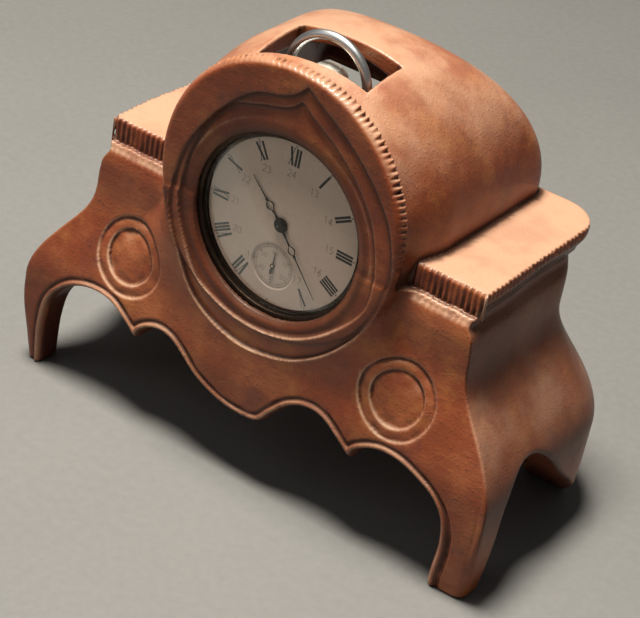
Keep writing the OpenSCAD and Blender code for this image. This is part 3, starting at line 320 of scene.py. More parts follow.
def metal(name, base, roughness, tarnish=0.25, lines=0.0):
    """Metal with handling marks: cloudy tarnish, fine scratches, slightly uneven polish."""
    f = Finish(name)
    cloud = f.noise(260, 4, 0.6)
    scratch = f.noise(2600, 3, 0.7, stretch=(1, 0.08, 0.5), shift=(0.2, 0.1, 0))
    dull = cloud.ramp(0.42, 0.68) * tarnish
    shade = dull.blend(tuple(base), darker(base, 0.42))
    relief = f.bump(scratch, 0.000012 + 0.00003 * lines, 0.6)
    return f.surface(
        base_color=shade, metallic=1.0, roughness=roughness + 0.16 * cloud + 0.10 * scratch, normal=relief
    )


def enamel(look):
    """Fired enamel, a little yellowed and speckled at the edge."""
    f = Finish("fired enamel")
    cloud = f.noise(95, 4, 0.6)
    dust = f.noise(1900, 2, 0.5).ramp(0.66, 0.76)
    aged = darker(look.enamel, 0.90, 0.84, 0.78)
    base = (cloud.ramp(0.35, 0.70) * 0.35).blend(tuple(look.enamel), aged)
    base = (dust * 0.30).blend(base, (0.30, 0.22, 0.16))
    return f.surface(
        base_color=base, roughness=0.22 + 0.10 * cloud, normal=f.bump(cloud, 0.00004, 0.5), coat_weight=0.35,
        coat_roughness=0.08
    )


def ink(name, shade, patchy):
    """Printed ink, thin in places so that the enamel shows."""
    f = Finish(name)
    thin = f.noise(1300, 3, 0.6)
    printed = (thin.ramp(0.48, 0.75) * patchy).blend(tuple(shade), (0.36, 0.31, 0.27))
    return f.surface(base_color=printed, roughness=0.35 + 0.2 * thin)


def clear_glass():
    """Thin watch glass: clear, with the reflection of its front face."""
    f = Finish("watch glass")
    smear = f.noise(120, 3, 0.6)
    gloss = f.node("ShaderNodeBsdfGlossy", {}, {"Color": (1, 1, 1, 1), "Roughness": 0.03})
    clear = f.node("ShaderNodeBsdfTransparent", {}, {"Color": (0.97, 0.98, 0.975, 1)})
    shine = f.node("ShaderNodeFresnel", {}, {"IOR": 1.45})
    mixed = f.node("ShaderNodeMixShader", {}, {0: shine * (0.10 + 0.08 * smear), 1: clear, 2: gloss})
    f.node("ShaderNodeOutputMaterial", {}, {"Surface": mixed})
    return f.material


def jewel(look):
    """Red bearing stone."""
    f = Finish("jewel")
    cloud = f.noise(900, 2)
    return f.surface(
        base_color=cloud.blend(tuple(look.jewel), darker(look.jewel, 0.5)), roughness=0.06 + 0.06 * cloud
    )


def dress(material, *names):
    """Gives carried-over CAD nodes their material."""
    for name in names:
        mesh = frame["nodes"][name].data
        mesh.materials.clear()
        mesh.materials.append(material)


def new_object(name, mesh, material, body, replaces):
    """Adds a piece of this scene to its body, in place of the CAD nodes that it replaces."""
    made = bpy.data.objects.new(name, mesh)
    bpy.context.scene.collection.objects.link(made)
    mesh.materials.append(material)
    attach(made, body)
    if replaces:
        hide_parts(*replaces)


# ------------------------------------------------------------------ carving

# Half the width of the body against height
HALF_WIDTH = (
    (0, 66.0), (4, 66.5), (9, 67.0), (16, 67.5), (24, 67.4), (28, 66.9), (32, 65.6), (36, 63.5), (40, 60.6),
    (44, 57.1), (48, 54.3), (52, 53.0), (58, 52.5), (64, 52.0), (80, 52.0),
)
# Lower edge of the front, in three scallops
APRON_LEFT = (
    (-61.6, -4), (-61.3, 3), (-60.8, 12), (-59.0, 20.3), (-53.9, 26.3), (-47.5, 28.8), (-41.1, 28.5),
    (-35.7, 25.5), (-32.1, 22.4),
)
APRON_MIDDLE = (
    (-32.1, 22.4), (-30.4, 25.6), (-26.4, 27.8), (-22.1, 27.5), (-18, 25), (-13.5, 21.3), (-7.1, 18.4),
    (-0.7, 17.4), (5.7, 18.3), (9.4, 22.4), (13.1, 26.2), (17.4, 28.3), (21.9, 28.2), (26.4, 25.6),
    (31.3, 21.6),
)
APRON_RIGHT = (
    (31.3, 21.6), (32.9, 24.9), (37.8, 27.4), (43.5, 27.5), (49.3, 25.5), (53.5, 23.0), (56.2, 19.0),
    (57.1, 12.9), (56.6, 7), (56.1, 3), (55.8, -4),
)
# Edges of the two sunk steps round the window
STEP_OUTER = (
    (4.4, 104.3), (8, 101.7), (15.6, 96.9), (23, 90.7), (27.7, 85.1), (30.6, 79.7), (32.2, 72.6),
    (31.7, 65.9), (29.3, 57.7), (25.4, 50.6), (19, 43.6), (11.5, 38.6), (4, 36.4), (-3.5, 36),
    (-11.4, 38.1), (-18, 42.5), (-21.9, 48.7), (-25.4, 56.6), (-27.1, 63.6), (-26.6, 72), (-24.3, 79.5),
    (-19.4, 87.5), (-13.4, 94.3), (-8.1, 98.1), (-2, 99.8), (1.8, 101.6), (4.4, 104.3),
)
STEP_INNER = (
    (3.3, 100.2), (7.0, 97.4), (13.6, 93.2), (20.0, 87.4), (24.9, 80.6), (27.6, 72.5), (28.4, 64.3),
    (26.6, 57.9), (20.1, 50.5), (12.9, 45.3), (5, 42.5), (-3.4, 42), (-10.6, 43.9), (-17, 47.3),
    (-21.6, 54.6), (-24.5, 62.2), (-25.1, 69.6), (-24, 77.2), (-20.2, 85.7), (-14.7, 92.3), (-7.6, 95.2),
    (-2, 96.8), (0.9, 98.0), (3.3, 100.2),
)
# Arch between the front and the back leg, depth against height
SIDE_ARCH = (
    (9, -4), (8.9, 6), (9.0, 14), (9.8, 21), (12.2, 26.5), (16.5, 30), (21, 30.6), (26, 28.8), (31.5, 24.2),
    (37.5, 18), (45.5, 11), (52, 5.2), (57, 0), (60, -4),
)
# Arch between the back legs
BACK_ARCH = (
    (-50, -4), (-49, 6), (-45, 15), (-36, 21.5), (-22, 25.2), (0, 26.4), (22, 25.2), (36, 21.5), (45, 15),
    (49, 6), (50, -4),
)


def flow(points, steps=7):
    """Smooth line through the points."""
    p = np.array(points, float)
    p = np.vstack([2 * p[0] - p[1], p, 2 * p[-1] - p[-2]])
    line = []
    for a, b, c, d in zip(p, p[1:], p[2:], p[3:]):
        for t in np.arange(steps) / steps:
            bend = (2 * a - 5 * b + 4 * c - d) * t * t
            line.append(0.5 * (2 * b + (c - a) * t + bend + (3 * b - a - 3 * c + d) * t**3))
    line.append(p[-2])
    return np.array(line)


def inside_line(points, u, v):
    """Distance to a closed line on a plane, negative inside it."""
    best = np.full(u.shape, 1e9)
    crossed = np.zeros(u.shape, bool)
    for (ax, ay), (bx, by) in zip(points, np.roll(points, -1, 0)):
        ex, ey = bx - ax, by - ay
        t = np.clip(((u - ax) * ex + (v - ay) * ey) / max(ex * ex + ey * ey, 1e-12), 0, 1)
        best = np.minimum(best, (u - ax - t * ex) ** 2 + (v - ay - t * ey) ** 2)
        if ay != by:
            crossed ^= ((ay > v) != (by > v)) & (u < ex * (v - ay) / ey + ax)
    return np.sqrt(best) * np.where(crossed, -1, 1)


def ease(low, high, value):
    """Eased step from 0 at low to 1 at high."""
    t = np.clip((value - low) / (high - low), 0, 1)
    return t * t * (3 - 2 * t)


def both(a, b, k=0.0):
    """Overlap of two shapes, its edge rounded over k."""
    if np.isscalar(k) and k == 0:
        return np.maximum(a, b)
    h = np.maximum(k - np.abs(a - b), 0)
    return np.maximum(a, b) + h * h / (4 * k)


def either(a, b, k):
    """Sum of two shapes, the corner between them filled over k."""
    return -both(-a, -b, k)


def below_apron(x, z):
    """Distance to the lower edge of the front, negative in the openings under it."""
    return inside_line(np.vstack([flow(APRON_LEFT), flow(APRON_MIDDLE), flow(APRON_RIGHT)]), x, z)


def to_axis(x, z, height):
    """Distance in the front's plane to the axis of the drum or of the watch."""
    return np.hypot(x - AXIS_X, z - height)


def roof_over(z, d, radius, low):
    """Roof that is level in front and falls to the back in a curve. Low is what holds below the curve."""
    if d < ROOF_BACK:
        return z - ROOF_Z - radius
    return np.where(z > ROOF_Z, np.hypot(z - ROOF_Z, d - ROOF_BACK) - radius, low)


def rounded(u, d, corner):
    """Plan with rounded back corners, from how far a point lies past their centres."""
    v = np.full_like(u, d)
    return np.where((u > 0) & (v > 0), np.hypot(u, v) - corner, np.maximum(u, v) - corner)


def waves(u, v, w, seed, size):
    """Slow unevenness from -1 to 1, over features of about the given size in millimetres."""
    made = np.random.default_rng(seed)
    total = 0
    for _ in range(7):
        way = made.normal(size=3)
        way *= 2 * math.pi / size * made.uniform(0.6, 1.6) / np.linalg.norm(way)
        total = total + np.sin(u * way[0] + v * way[1] + w * way[2] + made.uniform(0, 6.28))
    return total / 3.2


def carve(sizes, xs, ds, zs):
    """Field of the stand on a grid, in millimetres, negative in the wood. ds count back from the front."""
    mm = {name: getattr(sizes, name) / MM for name in sizes.__annotations__ if name != "triangles"}
    x, z = (a.astype(np.float32) for a in np.meshgrid(xs, zs, indexing="ij"))
    ax = np.abs(x)
    flare = 1 - ease(25, 54, z)
    foot = 1.5 * np.clip((20 - z) / 20, 0, 1) ** 2
    half = flow(HALF_WIDTH, 10)
    half_w = np.interp(z, half[:, 0], half[:, 1])
    corner = 13.5 + 14.5 * flare - 0.7 * foot
    apron = below_apron(x, z)
    outer = inside_line(flow(STEP_OUTER), x, z)
    inner = inside_line(flow(STEP_INNER), x, z)
    to_drum = to_axis(x, z, DRUM_Z)
    to_watch = to_axis(x, z, WATCH_Z)
    uneven = waves(x, 0, z, 3, 26) * mm["unevenness"]
    small = waves(x, 0, z, 11, 5.5)

    # The front face as a depth: hollowed at the waist, level round the window
    level = 1 - ease(0, 1, (to_drum - 31.2 - 1.5 * ease(62, 40, z)) / (4.5 + 16 * ease(64, 42, z)))
    face = 5.5 * (1 - flare) * (1 - level) + foot + uneven
    face += 0.9 * ease(30.0, 32.9, to_drum) ** 2 * ease(60, 68, z)
    # Sunk steps, each rising again to its middle
    step = mm["step_depth"]
    for line, width in ((outer, 2.6), (inner, 4.0)):
        s = np.maximum(-line, 0)
        face += step * (1 - np.exp(-s / 0.22)) - 0.52 * step * (1 - np.exp(-s / (0.42 * width)))
        face -= 0.14 * np.exp(-np.abs(line) / 0.7) * (line > 0) * ease(60, 44, z)
    face += 0.8 * ease(24.6, 22.0, to_watch) ** 2
    # Rosettes: two sunk rings
    for side, cz in ROSETTES:
        r = np.hypot(x - side, z - cz) + 0.12 * small
        wall = 0.85 + 0.25 * small
        for radius, depth, swell in ((mm["rosette_radius"], 1.0, 1.15), (mm["rosette_inner"], 0.95, 2.1)):
            s = np.maximum(radius - r, 0)
            face += depth * wall * (1 - np.exp(-s / 0.16)) * np.exp(-s / swell)
            face += 0.10 * np.exp(-np.abs(r - radius) / 0.3) * (r > radius)
        face -= 0.25 * ease(mm["rosette_inner"] - 0.6, 0, r)
    # Bead along the apron's edge, with its cut line
    bead = mm["bead_width"] * (1 + 0.35 * ease(50, 56, x) * ease(26, 14, z))
    cut = 0.48 + 0.38 * ease(50, 56, x) * ease(26, 16, z)
    low = ease(34, 30, z)
    face += low * cut * np.exp(-(((apron - bead) / 0.34) ** 2)) * (1 + 0.3 * small)
    face -= low * 0.42 * np.exp(-(((apron - 0.55 * bead) / 0.55) ** 2))
    face += 0.9 * ease(1.2, 0, apron) ** 2
    # Burnished line beside the right leg's corner
    face += 0.22 * np.exp(-(((half_w - x - 1.9) / 0.28) ** 2)) * ease(4, 8, z) * ease(32, 27, z)
    # Nicks on the ledge under the reeds
    nick = np.maximum(np.sin(2 * math.pi * (x + 0.25 * small) / 1.62), 0) ** 0.7
    on_ledge = ease(35.2, 36.4, to_drum) * ease(52.8, 51.6, ax)
    face += (0.55 + 0.45 * nick) * 0.8 * ease(63.4, 65.6, z) * on_ledge

    reed = np.abs(np.sin(math.pi * (ax - 0.35) / mm["reed_pitch"]))
    reed = mm["reed_depth"] * (1 - np.minimum(reed * 1.5, 1) ** 1.2) * (1 + 0.25 * small)
    top_z = mm["shelf_top"]
    half_s = mm["shelf_half"]
    angle = np.arctan2(z - DRUM_Z, x - AXIS_X)
    turn = angle * mm["rim_radius"] / mm["notch_pitch"]
    notch = (0.5 + 0.5 * np.cos(2 * math.pi * turn + 0.5 * small)) ** 1.2 * mm["notch_depth"]
    notch *= (angle > -0.12) * (1 - 0.75 * ease(2.3, 2.75, angle)) * (1 + 0.3 * small)
    side_z, side_d = np.meshgrid(zs, ds, indexing="xy")
    side_arch = inside_line(flow(SIDE_ARCH), side_d, side_z)
    back_arch = inside_line(flow(BACK_ARCH), x, z)
    crease = 1.4 * np.exp(-(((z - 64.2) / 1.9) ** 2))
    cavity = both(to_drum - 30, DRUM_Z - z)
    cavity = np.minimum(cavity, both(both(ax - 30, z - DRUM_Z), 41.8 - z))
    slot_side = np.abs(x - AXIS_X) - 13.3
    field = np.empty((len(xs), len(ds), len(zs)), np.float32)
    for j, d in enumerate(ds):
        wobble = waves(x, d, z, 5, 34) * mm["unevenness"] * 1.3
        front = face - d
        plan = rounded(ax - 40, d - 42, corner)
        drawn_in = np.maximum(crease, 1.5 * ease(61, 64.6, z)) if d > 8.6 else crease
        side = both(ax - half_w + drawn_in, plan + drawn_in - crease, 1.5) + wobble
        arris = 0.7 + 2.2 * ease(22, 6, z)
        body = both(both(front, side, arris), z - 66.0 + 0.12 * small, 0.5)
        # Drum
        rim = ease(3.7, 3.1, d)
        radius = mm["rim_radius"] + 0.35 * rim + (mm["drum_radius"] - mm["rim_radius"]) * ease(2.4, 19, d)
        radius = radius - 0.65 * (1 - rim) * ease(9, 3.4, d)
        drum = to_drum - radius + notch * rim
        roof = roof_over(z, d, mm["roof_radius"], max(d - ROOF_BACK - mm["roof_radius"], -mm["roof_radius"]))
        drum = both(drum, roof, 6.0) + wobble * (1 - rim)
        drum = both(drum, front, 0.5)
        drum = both(drum, 40 - z)
        # Shelf
        edge_cut = 0.42 * (np.sin(2 * math.pi * (d + 0.2 * small) / 1.75) > 0.15)
        edge_cut = edge_cut * ease(69.0, 70.8, z) * ease(58, 50, d)
        plan = rounded(ax - (half_s - 10), d - 52, 10)
        plan = plan + edge_cut + 1.9 * ease(70.2, 65.4, z) * (d > 8.6)
        shelf = both(plan + wobble, 8 + reed + 0.4 * ease(71.2, 72, z) - d, 0.5)
        shelf = both(both(shelf, z - top_z + 0.7 * wobble, 0.55), 65.2 - z, 0.4)
        wood = np.minimum(either(body, drum, 2.2), shelf)
        # Openings
        if d < 14:
            wood = both(wood, -both(apron, np.full_like(x, d - 10.0)), 1.0)
        wood = both(wood, -np.broadcast_to(side_arch[j], x.shape), 2.0)
        if d > 38:
            wood = both(wood, -both(back_arch, np.full_like(x, 42 - d)), 2.0)
        plan = rounded(ax - 36.5, d - 41, 20)
        wood = both(wood, -both(both(plan, np.full_like(x, 9 - d)), z - 31, 4.0), 0.8)
        if d < 16:
            wood = both(wood, -both(to_watch - 22.15, np.full_like(x, d - 2.65)))
            wood = both(wood, -both(to_watch - 25.5, np.full_like(x, max(2.6 - d, d - 12.2))))
        if d > 8:
            roof_in = 36.8
            under = roof_over(z, d, roof_in, d - ROOF_BACK - roof_in - 99)
            hole = both(both(cavity, under, 3.0), np.full_like(x, 12.2 - d))
            hole = np.minimum(hole, both(both(np.abs(x - AXIS_X) - 30, 66 - z), np.full_like(x, 57 - d)))
            wood = both(wood, -hole, 0.6)
        slot = both(slot_side, both(np.maximum(6.6 + 0.09 * x - d, d - 20.8), 88.8 - z))
        wood = both(wood, -slot, 0.7)
        field[:, j, :] = both(wood, -z + 0.02, 0.8)
    return field


def cut_lines(sizes, x, d, z):
    """Painted highlights along the lower sides of the front's cut lines, the apron's edge and the ledge, and
    painted shade along their upper sides and in the arches.
    """
    def near(value, place, width):
        return np.exp(-(((value - place) / width) ** 2))

    apron = below_apron(x, z)
    # Painted highlight along the apron's edge.
    painted_highlight = near(apron, 0.95, 0.42) * 0.55
    bead = sizes.bead_width / MM
    # Painted shade along the bead's cut line and on the inner faces of the arches.
    shaded = 0.8 * near(apron, bead, 0.3) + ease(0.5, 0.0, apron) * ease(1.2, 2.2, d)
    painted_highlight, shaded = painted_highlight * ease(34, 31, z), shaded * ease(34, 31, z)
    for outline in (STEP_OUTER, STEP_INNER):
        # Along each step: painted highlight on the outer lip, strongest low down, and painted shade just
        # inside, strongest high up.
        line = inside_line(flow(outline), x, z)
        painted_highlight += near(line, 0.2, 0.28) * (0.10 + 0.60 * ease(62, 47, z))
        shaded += near(line, -0.45, 0.45) * (0.35 + 0.45 * ease(60, 78, z))
    for side, cz in ROSETTES:
        # Round each rosette: painted highlight low on the left, painted shade high up.
        turn = np.arctan2(z - cz, x - side)
        for radius in (sizes.rosette_radius / MM, sizes.rosette_inner / MM):
            r = np.hypot(x - side, z - cz) - radius
            painted_highlight += near(r, 0.15, 0.24) * (0.20 + 0.60 * ease(-0.2, 0.9, np.cos(turn - 3.9)))
            shaded += near(r, -0.4, 0.4) * (0.45 + 0.55 * ease(0, 0.9, np.sin(turn)))
    front = ease(8, 6, d)
    on_ledge = ease(35.2, 36.4, to_axis(x, z, DRUM_Z))
    # Painted highlight along the ledge under the reeds.
    painted_highlight += ease(63.9, 64.7, z) * ease(66.2, 65.6, z) * 0.6 * on_ledge
    in_arch = np.maximum(front, ease(34, 31, z) * ease(20, 12, d))
    return np.clip(painted_highlight * front, 0, 1), np.clip(shaded * in_arch, 0, 1)


def skin(field, xs, ds, zs):
    """Surface of the field: one point in each cell that it crosses, one face round each crossed edge."""
    inside = field < 0
    nx, nd, nz = (n - 1 for n in field.shape)
    corners = [(i, j, k) for i in (0, 1) for j in (0, 1) for k in (0, 1)]

    def part(a, c):
        return a[c[0]:c[0] + nx, c[1]:c[1] + nd, c[2]:c[2] + nz]

    count = np.zeros((nx, nd, nz), np.uint8)
    for c in corners:
        count += part(inside, c)
    ci, cj, ck = np.nonzero((count > 0) & (count < 8))
    number = np.full((nx, nd, nz), -1, np.int32)
    number[ci, cj, ck] = np.arange(len(ci))
    total = np.zeros((len(ci), 3))
    hits = np.zeros(len(ci))
    values = {c: field[ci + c[0], cj + c[1], ck + c[2]] for c in corners}
    axes = (xs, ds, zs)
    index = (ci, cj, ck)
    for a in corners:
        for axis in range(3):
            if a[axis]:
                continue
            b = list(a)
            b[axis] = 1
            va, vb = values[a], values[tuple(b)]
            crossed = (va < 0) != (vb < 0)
            t = np.where(crossed, va / np.where(crossed, va - vb, 1), 0)
            for n in range(3):
                low = axes[n][index[n] + a[n]]
                if n == axis:
                    low = low + t * (axes[n][index[n] + 1] - axes[n][index[n]])
                total[:, n] += np.where(crossed, low, 0)
            hits += crossed
    points = total / hits[:, None]
    faces = []
    for axis in range(3):
        first = [slice(0, None)] * 3
        second = [slice(0, None)] * 3
        first[axis] = slice(0, -1)
        second[axis] = slice(1, None)
        low, high = inside[tuple(first)], inside[tuple(second)]
        i, j, k = np.nonzero(low != high)
        at = [i, j, k]
        others = [n for n in range(3) if n != axis]
        keep = np.ones(len(i), bool)
        for n in others:
            keep &= (at[n] > 0) & (at[n] < (nx, nd, nz)[n])
        at = [a[keep] for a in at]
        flip = low[tuple(at)]
        ring = []
        for u, v in ((0, 0), (1, 0), (1, 1), (0, 1)):
            cell = list(at)
            cell[others[0]] = at[others[0]] - 1 + u
            cell[others[1]] = at[others[1]] - 1 + v
            ring.append(number[tuple(cell)])
        ring = np.stack(ring, 1)
        if axis == 1:
            flip = ~flip
        ring[~flip] = ring[~flip][:, ::-1]
        faces.append(ring)
    return points, np.vstack(faces)


def mesh_of(name, points, faces):
    """Mesh from arrays of points in millimetres and faces of four."""
    mesh = bpy.data.meshes.new(name)
    mesh.vertices.add(len(points))
    mesh.vertices.foreach_set("co", (points * MM).astype(np.float32).ravel())
    mesh.loops.add(faces.size)
    mesh.loops.foreach_set("vertex_index", faces.astype(np.int32).ravel())
    mesh.polygons.add(len(faces))
    mesh.polygons.foreach_set("loop_start", np.arange(0, faces.size, faces.shape[1], dtype=np.int32))
    mesh.update(calc_edges=True)
    mesh.validate()
    return mesh


class Sampler:
    """Reads the field between its grid points."""

    def __init__(self, field, axes):
        self.field, self.axes = field, axes

    def __call__(self, points):
        at = [np.interp(points[:, n], self.axes[n], np.arange(len(self.axes[n]))) for n in range(3)]
        low = [np.minimum(a.astype(int), len(self.axes[n]) - 2) for n, a in enumerate(at)]
        part = [a - b for a, b in zip(at, low)]
        total = 0
        for i in (0, 1):
            for j in (0, 1):
                for k in (0, 1):
                    share = (part[0] if i else 1 - part[0]) * (part[1] if j else 1 - part[1])
                    share = share * (part[2] if k else 1 - part[2])
                    total = total + share * self.field[low[0] + i, low[1] + j, low[2] + k]
        return total

    def normals(self, points, h=0.35):
        slope = np.stack([self(points + h * e) - self(points - h * e) for e in np.eye(3)], 1)
        return slope / np.maximum(np.linalg.norm(slope, axis=1, keepdims=True), 1e-6)


class CarveStand(bpy.types.Operator):
    """Carves the stand from its outlines and cut lines, and waxes it, with painted light and shade in the
    wood's colour
    """

    bl_idname = "watchbox.carve_stand"
    bl_label = "Carve the stand"

    def execute(self, context):
        sizes, look = context.scene.stand_sizes, context.scene.wood_look
        h = sizes.grid / MM * 1.0
        xs = np.arange(-69, 69 + h, h * 0.9)
        ds = np.concatenate([np.arange(-1.4, 14, h * 0.85), np.arange(14, 72.2, h * 1.25)])
        zs = np.arange(-1.2, 112.4, h)
        field = carve(sizes, xs, ds, zs)
        points, faces = skin(field, xs, ds, zs)
        rough = mesh_of("carving", points + (0, FRONT, 0), faces)
        blank = bpy.data.objects.new("carving", rough)
        context.scene.collection.objects.link(blank)
        thin = blank.modifiers.new("thin", "DECIMATE")
        thin.ratio = min(1.0, sizes.triangles / (2 * len(faces)))
        context.view_layer.update()
        mesh = bpy.data.meshes.new_from_object(blank.evaluated_get(context.evaluated_depsgraph_get()))
        bpy.data.objects.remove(blank)
        mesh.name = "carved_wood"
        co = np.empty(len(mesh.vertices) * 3, np.float32)
        mesh.vertices.foreach_get("co", co)
        at = co.reshape(-1, 3).astype(float) / MM - (0, FRONT, 0)
        sample = Sampler(field, (xs, ds, zs))
        normal = sample.normals(at)
        # Painted shade, with old wax in the hollows: darker where the wood closes round a point.
        near = np.clip((1.3 - sample(at + 1.3 * normal)) / 1.3, 0, 1)
        far = np.clip((4.0 - sample(at + 4.0 * normal)) / 4.0, 0, 1)
        out = np.clip((sample(at - 0.8 * normal) + 0.8) / 0.8, 0, 1)
        # Painted shade on the wood round the watch's pocket.
        lip = ease(26.0, 24.6, to_axis(at[:, 0], at[:, 2], WATCH_Z)) * ease(6, 4, at[:, 1])
        # Painted light on the shelf's upper face.
        top = ease(0.75, 0.98, normal[:, 2]) * ease(70.5, 71.6, at[:, 2]) * ease(73.5, 72.5, at[:, 2])
        painted_highlight, shaded = cut_lines(sizes, at[:, 0], at[:, 1], at[:, 2])
        # Painted shade under faces that point down.
        under = 0.5 * ease(-0.15, -0.75, normal[:, 2])
        # Painted shade on the side faces.
        side_shade = 0.42 * ease(0.45, 0.9, np.abs(normal[:, 0]))
        side_shade = side_shade * ease(71.5, 69, at[:, 2]) * ease(8, 30, at[:, 2])
        # Sum of the painted shade, with old wax in the hollows.
        wax_and_shade_total = 0.75 * near + 0.45 * far + 0.7 * shaded + under + side_shade + 0.35 * lip
        # The sky mark paints light on faces that point up; the line mark paints highlights.
        marks = {
            "recess": np.clip(wax_and_shade_total, 0, 1),
            "edge": out * (1 - lip), "top": top, "sky": np.clip(normal[:, 2], 0, 1), "line": painted_highlight,
        }
        for name, values in marks.items():
            layer = mesh.attributes.new(name, "FLOAT", "POINT")
            layer.data.foreach_set("value", values.astype(np.float32))
        mesh.polygons.foreach_set("use_smooth", np.ones(len(mesh.polygons), bool))
        mesh.normals_split_custom_set_from_vertices(normal.astype(np.float32))
        new_object("carved_wood", mesh, waxed_wood(look), "stand", ("carved_stand",))
        return {"FINISHED"}


# ------------------------------------------------------------------ dial and hands


def on_dial(x, y, z):
    """Point in the model from a place on the dial: right, up, towards the viewer, in millimetres."""
    c, s = math.cos(ROLL), math.sin(ROLL)
    return Vector(((AXIS_X + x * c + y * s), (DIAL_Y - z), (WATCH_Z - x * s + y * c))) * MM


SUB_X, SUB_Y = -0.34, -11.06  # centre of the seconds dial
TRACK_R = 19.85  # radius of the minute dots
NUMERALS = ("XII", "I", "II", "III", "IIII", "V", "", "VII", "VIII", "IX", "X", "XI")


class Plate:
    """Gathers flat outlines into one thin mesh that lies on the dial."""

    def __init__(self):
        self.points, self.faces = [], []

    def outline(self, points, z, thick=0.0):
        start = len(self.points)
        n = len(points)
        self.points += [on_dial(x, y, z + thick) for x, y in points]
        self.faces.append(tuple(range(start, start + n)))
        if thick:
            self.points += [on_dial(x, y, z) for x, y in points]
            self.faces.append(tuple(range(start + 2 * n - 1, start + n - 1, -1)))
            after = [(i + 1) % n for i in range(n)]
            self.faces += [(start + i, start + n + i, start + n + k, start + k) for i, k in enumerate(after)]

    def ring(self, cx, cy, r0, r1, z, thick=0.0, n=48):
        """Flat ring between two radii, in quads."""
        for i in range(n):
            a, b = 2 * math.pi * i / n, 2 * math.pi * (i + 1) / n
            corners = ((r0, b), (r0, a), (r1, a), (r1, b))
            self.outline([(cx + r * math.cos(t), cy + r * math.sin(t)) for r, t in corners], z, thick)

    def mesh(self, name):
        mesh = bpy.data.meshes.new(name)
        mesh.from_pydata(self.points, [], self.faces)
        mesh.validate()
        return mesh


def turned(points, angle, x=0.0, y=0.0):
    """Points turned clockwise by an angle in degrees, then moved."""
    c, s = math.cos(math.radians(angle)), math.sin(math.radians(angle))
    return [(x + px * c + py * s, y - px * s + py * c) for px, py in points]


def bar(x0, y0, x1, y1, w):
    """Stroke of width w between two points."""
    dx, dy = x1 - x0, y1 - y0
    n = math.hypot(dx, dy)
    ox, oy = -dy / n * w / 2, dx / n * w / 2
    return [(x0 + ox, y0 + oy), (x0 - ox, y0 - oy), (x1 - ox, y1 - oy), (x1 + ox, y1 + oy)]


def roman(text, height):
    """Strokes of a Roman number, standing on y = 0 and centred on x = 0."""
    wide = {"I": 0.82, "V": 1.7, "X": 1.7}
    thick, thin, serif = 0.60, 0.17, 0.15
    low, high = 0.05, height - 0.05
    at = -sum(wide[c] for c in text) / 2
    strokes = []
    for c in text:
        mid = at + wide[c] / 2
        if c == "I":
            strokes.append(bar(mid, 0, mid, height, thick))
            serifs = ((-0.3, 0.3, low), (-0.3, 0.3, high))
        elif c == "V":
            strokes.append(bar(mid - 0.45, height, mid + 0.06, 0, thick))
            strokes.append(bar(mid + 0.5, height, mid + 0.08, 0, thin))
            serifs = ((-0.75, -0.15, high), (0.25, 0.75, high))
        else:
            strokes.append(bar(mid - 0.48, height, mid + 0.48, 0, thick))
            strokes.append(bar(mid + 0.46, height, mid - 0.46, 0, thin))
            serifs = ((-0.75, -0.2, high), (0.2, 0.75, high), (-0.75, -0.2, low), (0.2, 0.75, low))
        strokes += [bar(mid + x0, y, mid + x1, y, serif) for x0, x1, y in serifs]
        at += wide[c]
    return strokes


# Corners of the strokes of each digit, on a unit square
DIGITS = {
    "0": ".5,1 1,.8 1,.2 .5,0 0,.2 0,.8 .5,1",
    "1": ".2,.8 .55,1 .55,0",
    "2": "0,.8 .4,1 .95,.85 .85,.5 0,0 1,0",
    "3": "0,.9 .5,1 .95,.8 .5,.55 1,.25 .5,0 0,.1",
    "4": ".75,0 .75,1 0,.3 1,.3",
    "5": ".9,1 .15,1 .1,.6 .6,.62 .95,.3 .5,0 0,.1",
    "6": ".8,1 .2,.6 0,.25 .5,0 .95,.25 .6,.55 .05,.35",
    "7": "0,1 1,1 .4,0",
    "8": ".5,.55 .1,.8 .5,1 .9,.8 .5,.55 0,.2 .5,0 1,.2 .5,.55",
    "9": ".2,0 .8,.4 1,.75 .5,1 .05,.75 .4,.45 .95,.65",
}


def small_number(text, height, weight):
    """Strokes of a small plain number, centred on the origin."""
    w = height * 0.52
    gap = height * 0.22
    total = len(text) * w + (len(text) - 1) * gap
    strokes = []
    for n, c in enumerate(text):
        x0 = -total / 2 + n * (w + gap)
        spots = [tuple(float(v) for v in p.split(",")) for p in DIGITS[c].split()]
        spots = [(x0 + px * w, (py - 0.5) * height) for px, py in spots]
        strokes += [bar(*a, *b, weight) for a, b in zip(spots, spots[1:]) if a != b]
    return strokes


